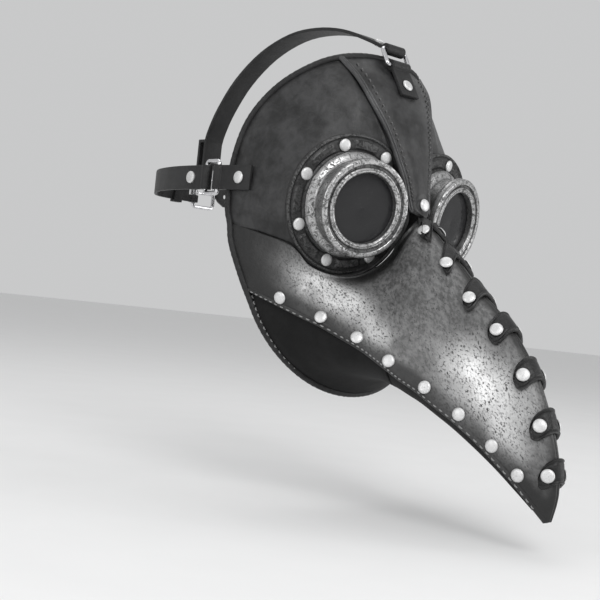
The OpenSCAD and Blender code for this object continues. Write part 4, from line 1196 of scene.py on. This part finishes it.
def harness():
    for tab in ("temple_tab_right", "temple_tab_left", "crown_tab"):
        softened(tab, "mask")
    for strap in ("buckle_strap", "billet_strap", "crown_strap", "strap_keeper"):
        softened(strap, strap)


def kept_nodes():
    """Frame nodes whose shape is right and that only take a material."""
    wires = ("temple_ring_right", "temple_ring_left", "crown_ring", "buckle_frame", "buckle_prong")
    backing = ("backing_ring_right", "backing_ring_left")
    strap_rivets = ("buckle_strap_rivet", "billet_strap_rivet", "crown_strap_rivet")
    for nodes, material in ((wires, HARDWARE), (backing, SILVER), (strap_rivets, RIVET)):
        for node in nodes:
            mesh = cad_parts[node].data
            mesh.materials.clear()
            mesh.materials.append(material)
            mesh.polygons.foreach_set("use_smooth", [True] * len(mesh.polygons))
            mesh.set_sharp_from_angle(angle=math.radians(35))


beak_sides()
under_leathers()
face_leathers()
brow_welts()
stitching()
binding()
for strap in range(len(RIDGE_AT)):
    ridge_strap(strap)
rivets()
goggles()
harness()
kept_nodes()

# ---------------------------------------------------------------- floor, light and camera
CAMERA_YAW = math.radians(42.4)
CAMERA_ROLL = math.radians(6)
CAMERA_DISTANCE = 0.8485
CAMERA_AIM = (0.00906, 0.05948)     # sideways and upward shift of the aim, metres
CAMERA_LENS = 72.8


def camera():
    back = Vector((-math.sin(CAMERA_YAW), -math.cos(CAMERA_YAW), 0))
    level = Vector((math.cos(CAMERA_YAW), -math.sin(CAMERA_YAW), 0))
    up = Vector((0, 0, 1))
    right = math.cos(CAMERA_ROLL) * level + math.sin(CAMERA_ROLL) * up
    top = -math.sin(CAMERA_ROLL) * level + math.cos(CAMERA_ROLL) * up
    at = back * CAMERA_DISTANCE - right * CAMERA_AIM[0] - top * CAMERA_AIM[1]
    data = bpy.data.cameras.new("camera")
    data.lens = CAMERA_LENS
    data.sensor_width = 36
    obj = in_scene("camera", data)
    turned = Matrix((right, top, back)).transposed().to_4x4()
    obj.matrix_world = Matrix.Translation(at) @ turned
    bpy.context.scene.camera = obj


def softbox(name, at, aim, size, power):
    data = bpy.data.lights.new(name, "AREA")
    data.shape = "RECTANGLE"
    data.size, data.size_y = size
    data.energy = power
    obj = in_scene(name, data)
    obj.location = at
    obj.rotation_euler = (Vector(aim) - Vector(at)).to_track_quat("-Z", "Y").to_euler()


def stage():
    world = bpy.data.worlds.new("studio")
    bpy.context.scene.world = world
    world.use_nodes = True
    background = world.node_tree.nodes["Background"]
    background.inputs["Color"].default_value = (0.97, 0.975, 0.98, 1)
    background.inputs["Strength"].default_value = 0.6
    bpy.context.scene.view_settings.view_transform = "Standard"
    g = Graph("pale_floor")
    g.set(Base_Color=g.blend(g.noise(60, 4.0), grey(0.8), grey(0.84)), Roughness=0.8, Specular_IOR_Level=0.2)
    bm = bmesh.new()
    bmesh.ops.create_circle(bm, cap_ends=True, radius=6.0, segments=96)
    mesh = bpy.data.meshes.new("floor")
    bm.to_mesh(mesh)
    bm.free()
    mesh.materials.append(g.material)
    floor = in_scene("floor", mesh)
    floor.location.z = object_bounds()[0][2] - FLOOR_GAP * MM
    floor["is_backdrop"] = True


camera()
softbox("key", (-0.55, -1.2, 0.85), (0, -0.1, -0.02), (0.7, 0.7), 9)
softbox("fill", (-1.4, -0.1, 0.25), (-0.03, -0.08, 0), (0.8, 1.0), 4)
softbox("front", (0.9, -1.1, 0.2), (0, -0.15, -0.05), (0.5, 0.9), 5)
softbox("top", (0.1, 0.2, 1.3), (0, 0, 0), (1.0, 1.0), 4)
stage()
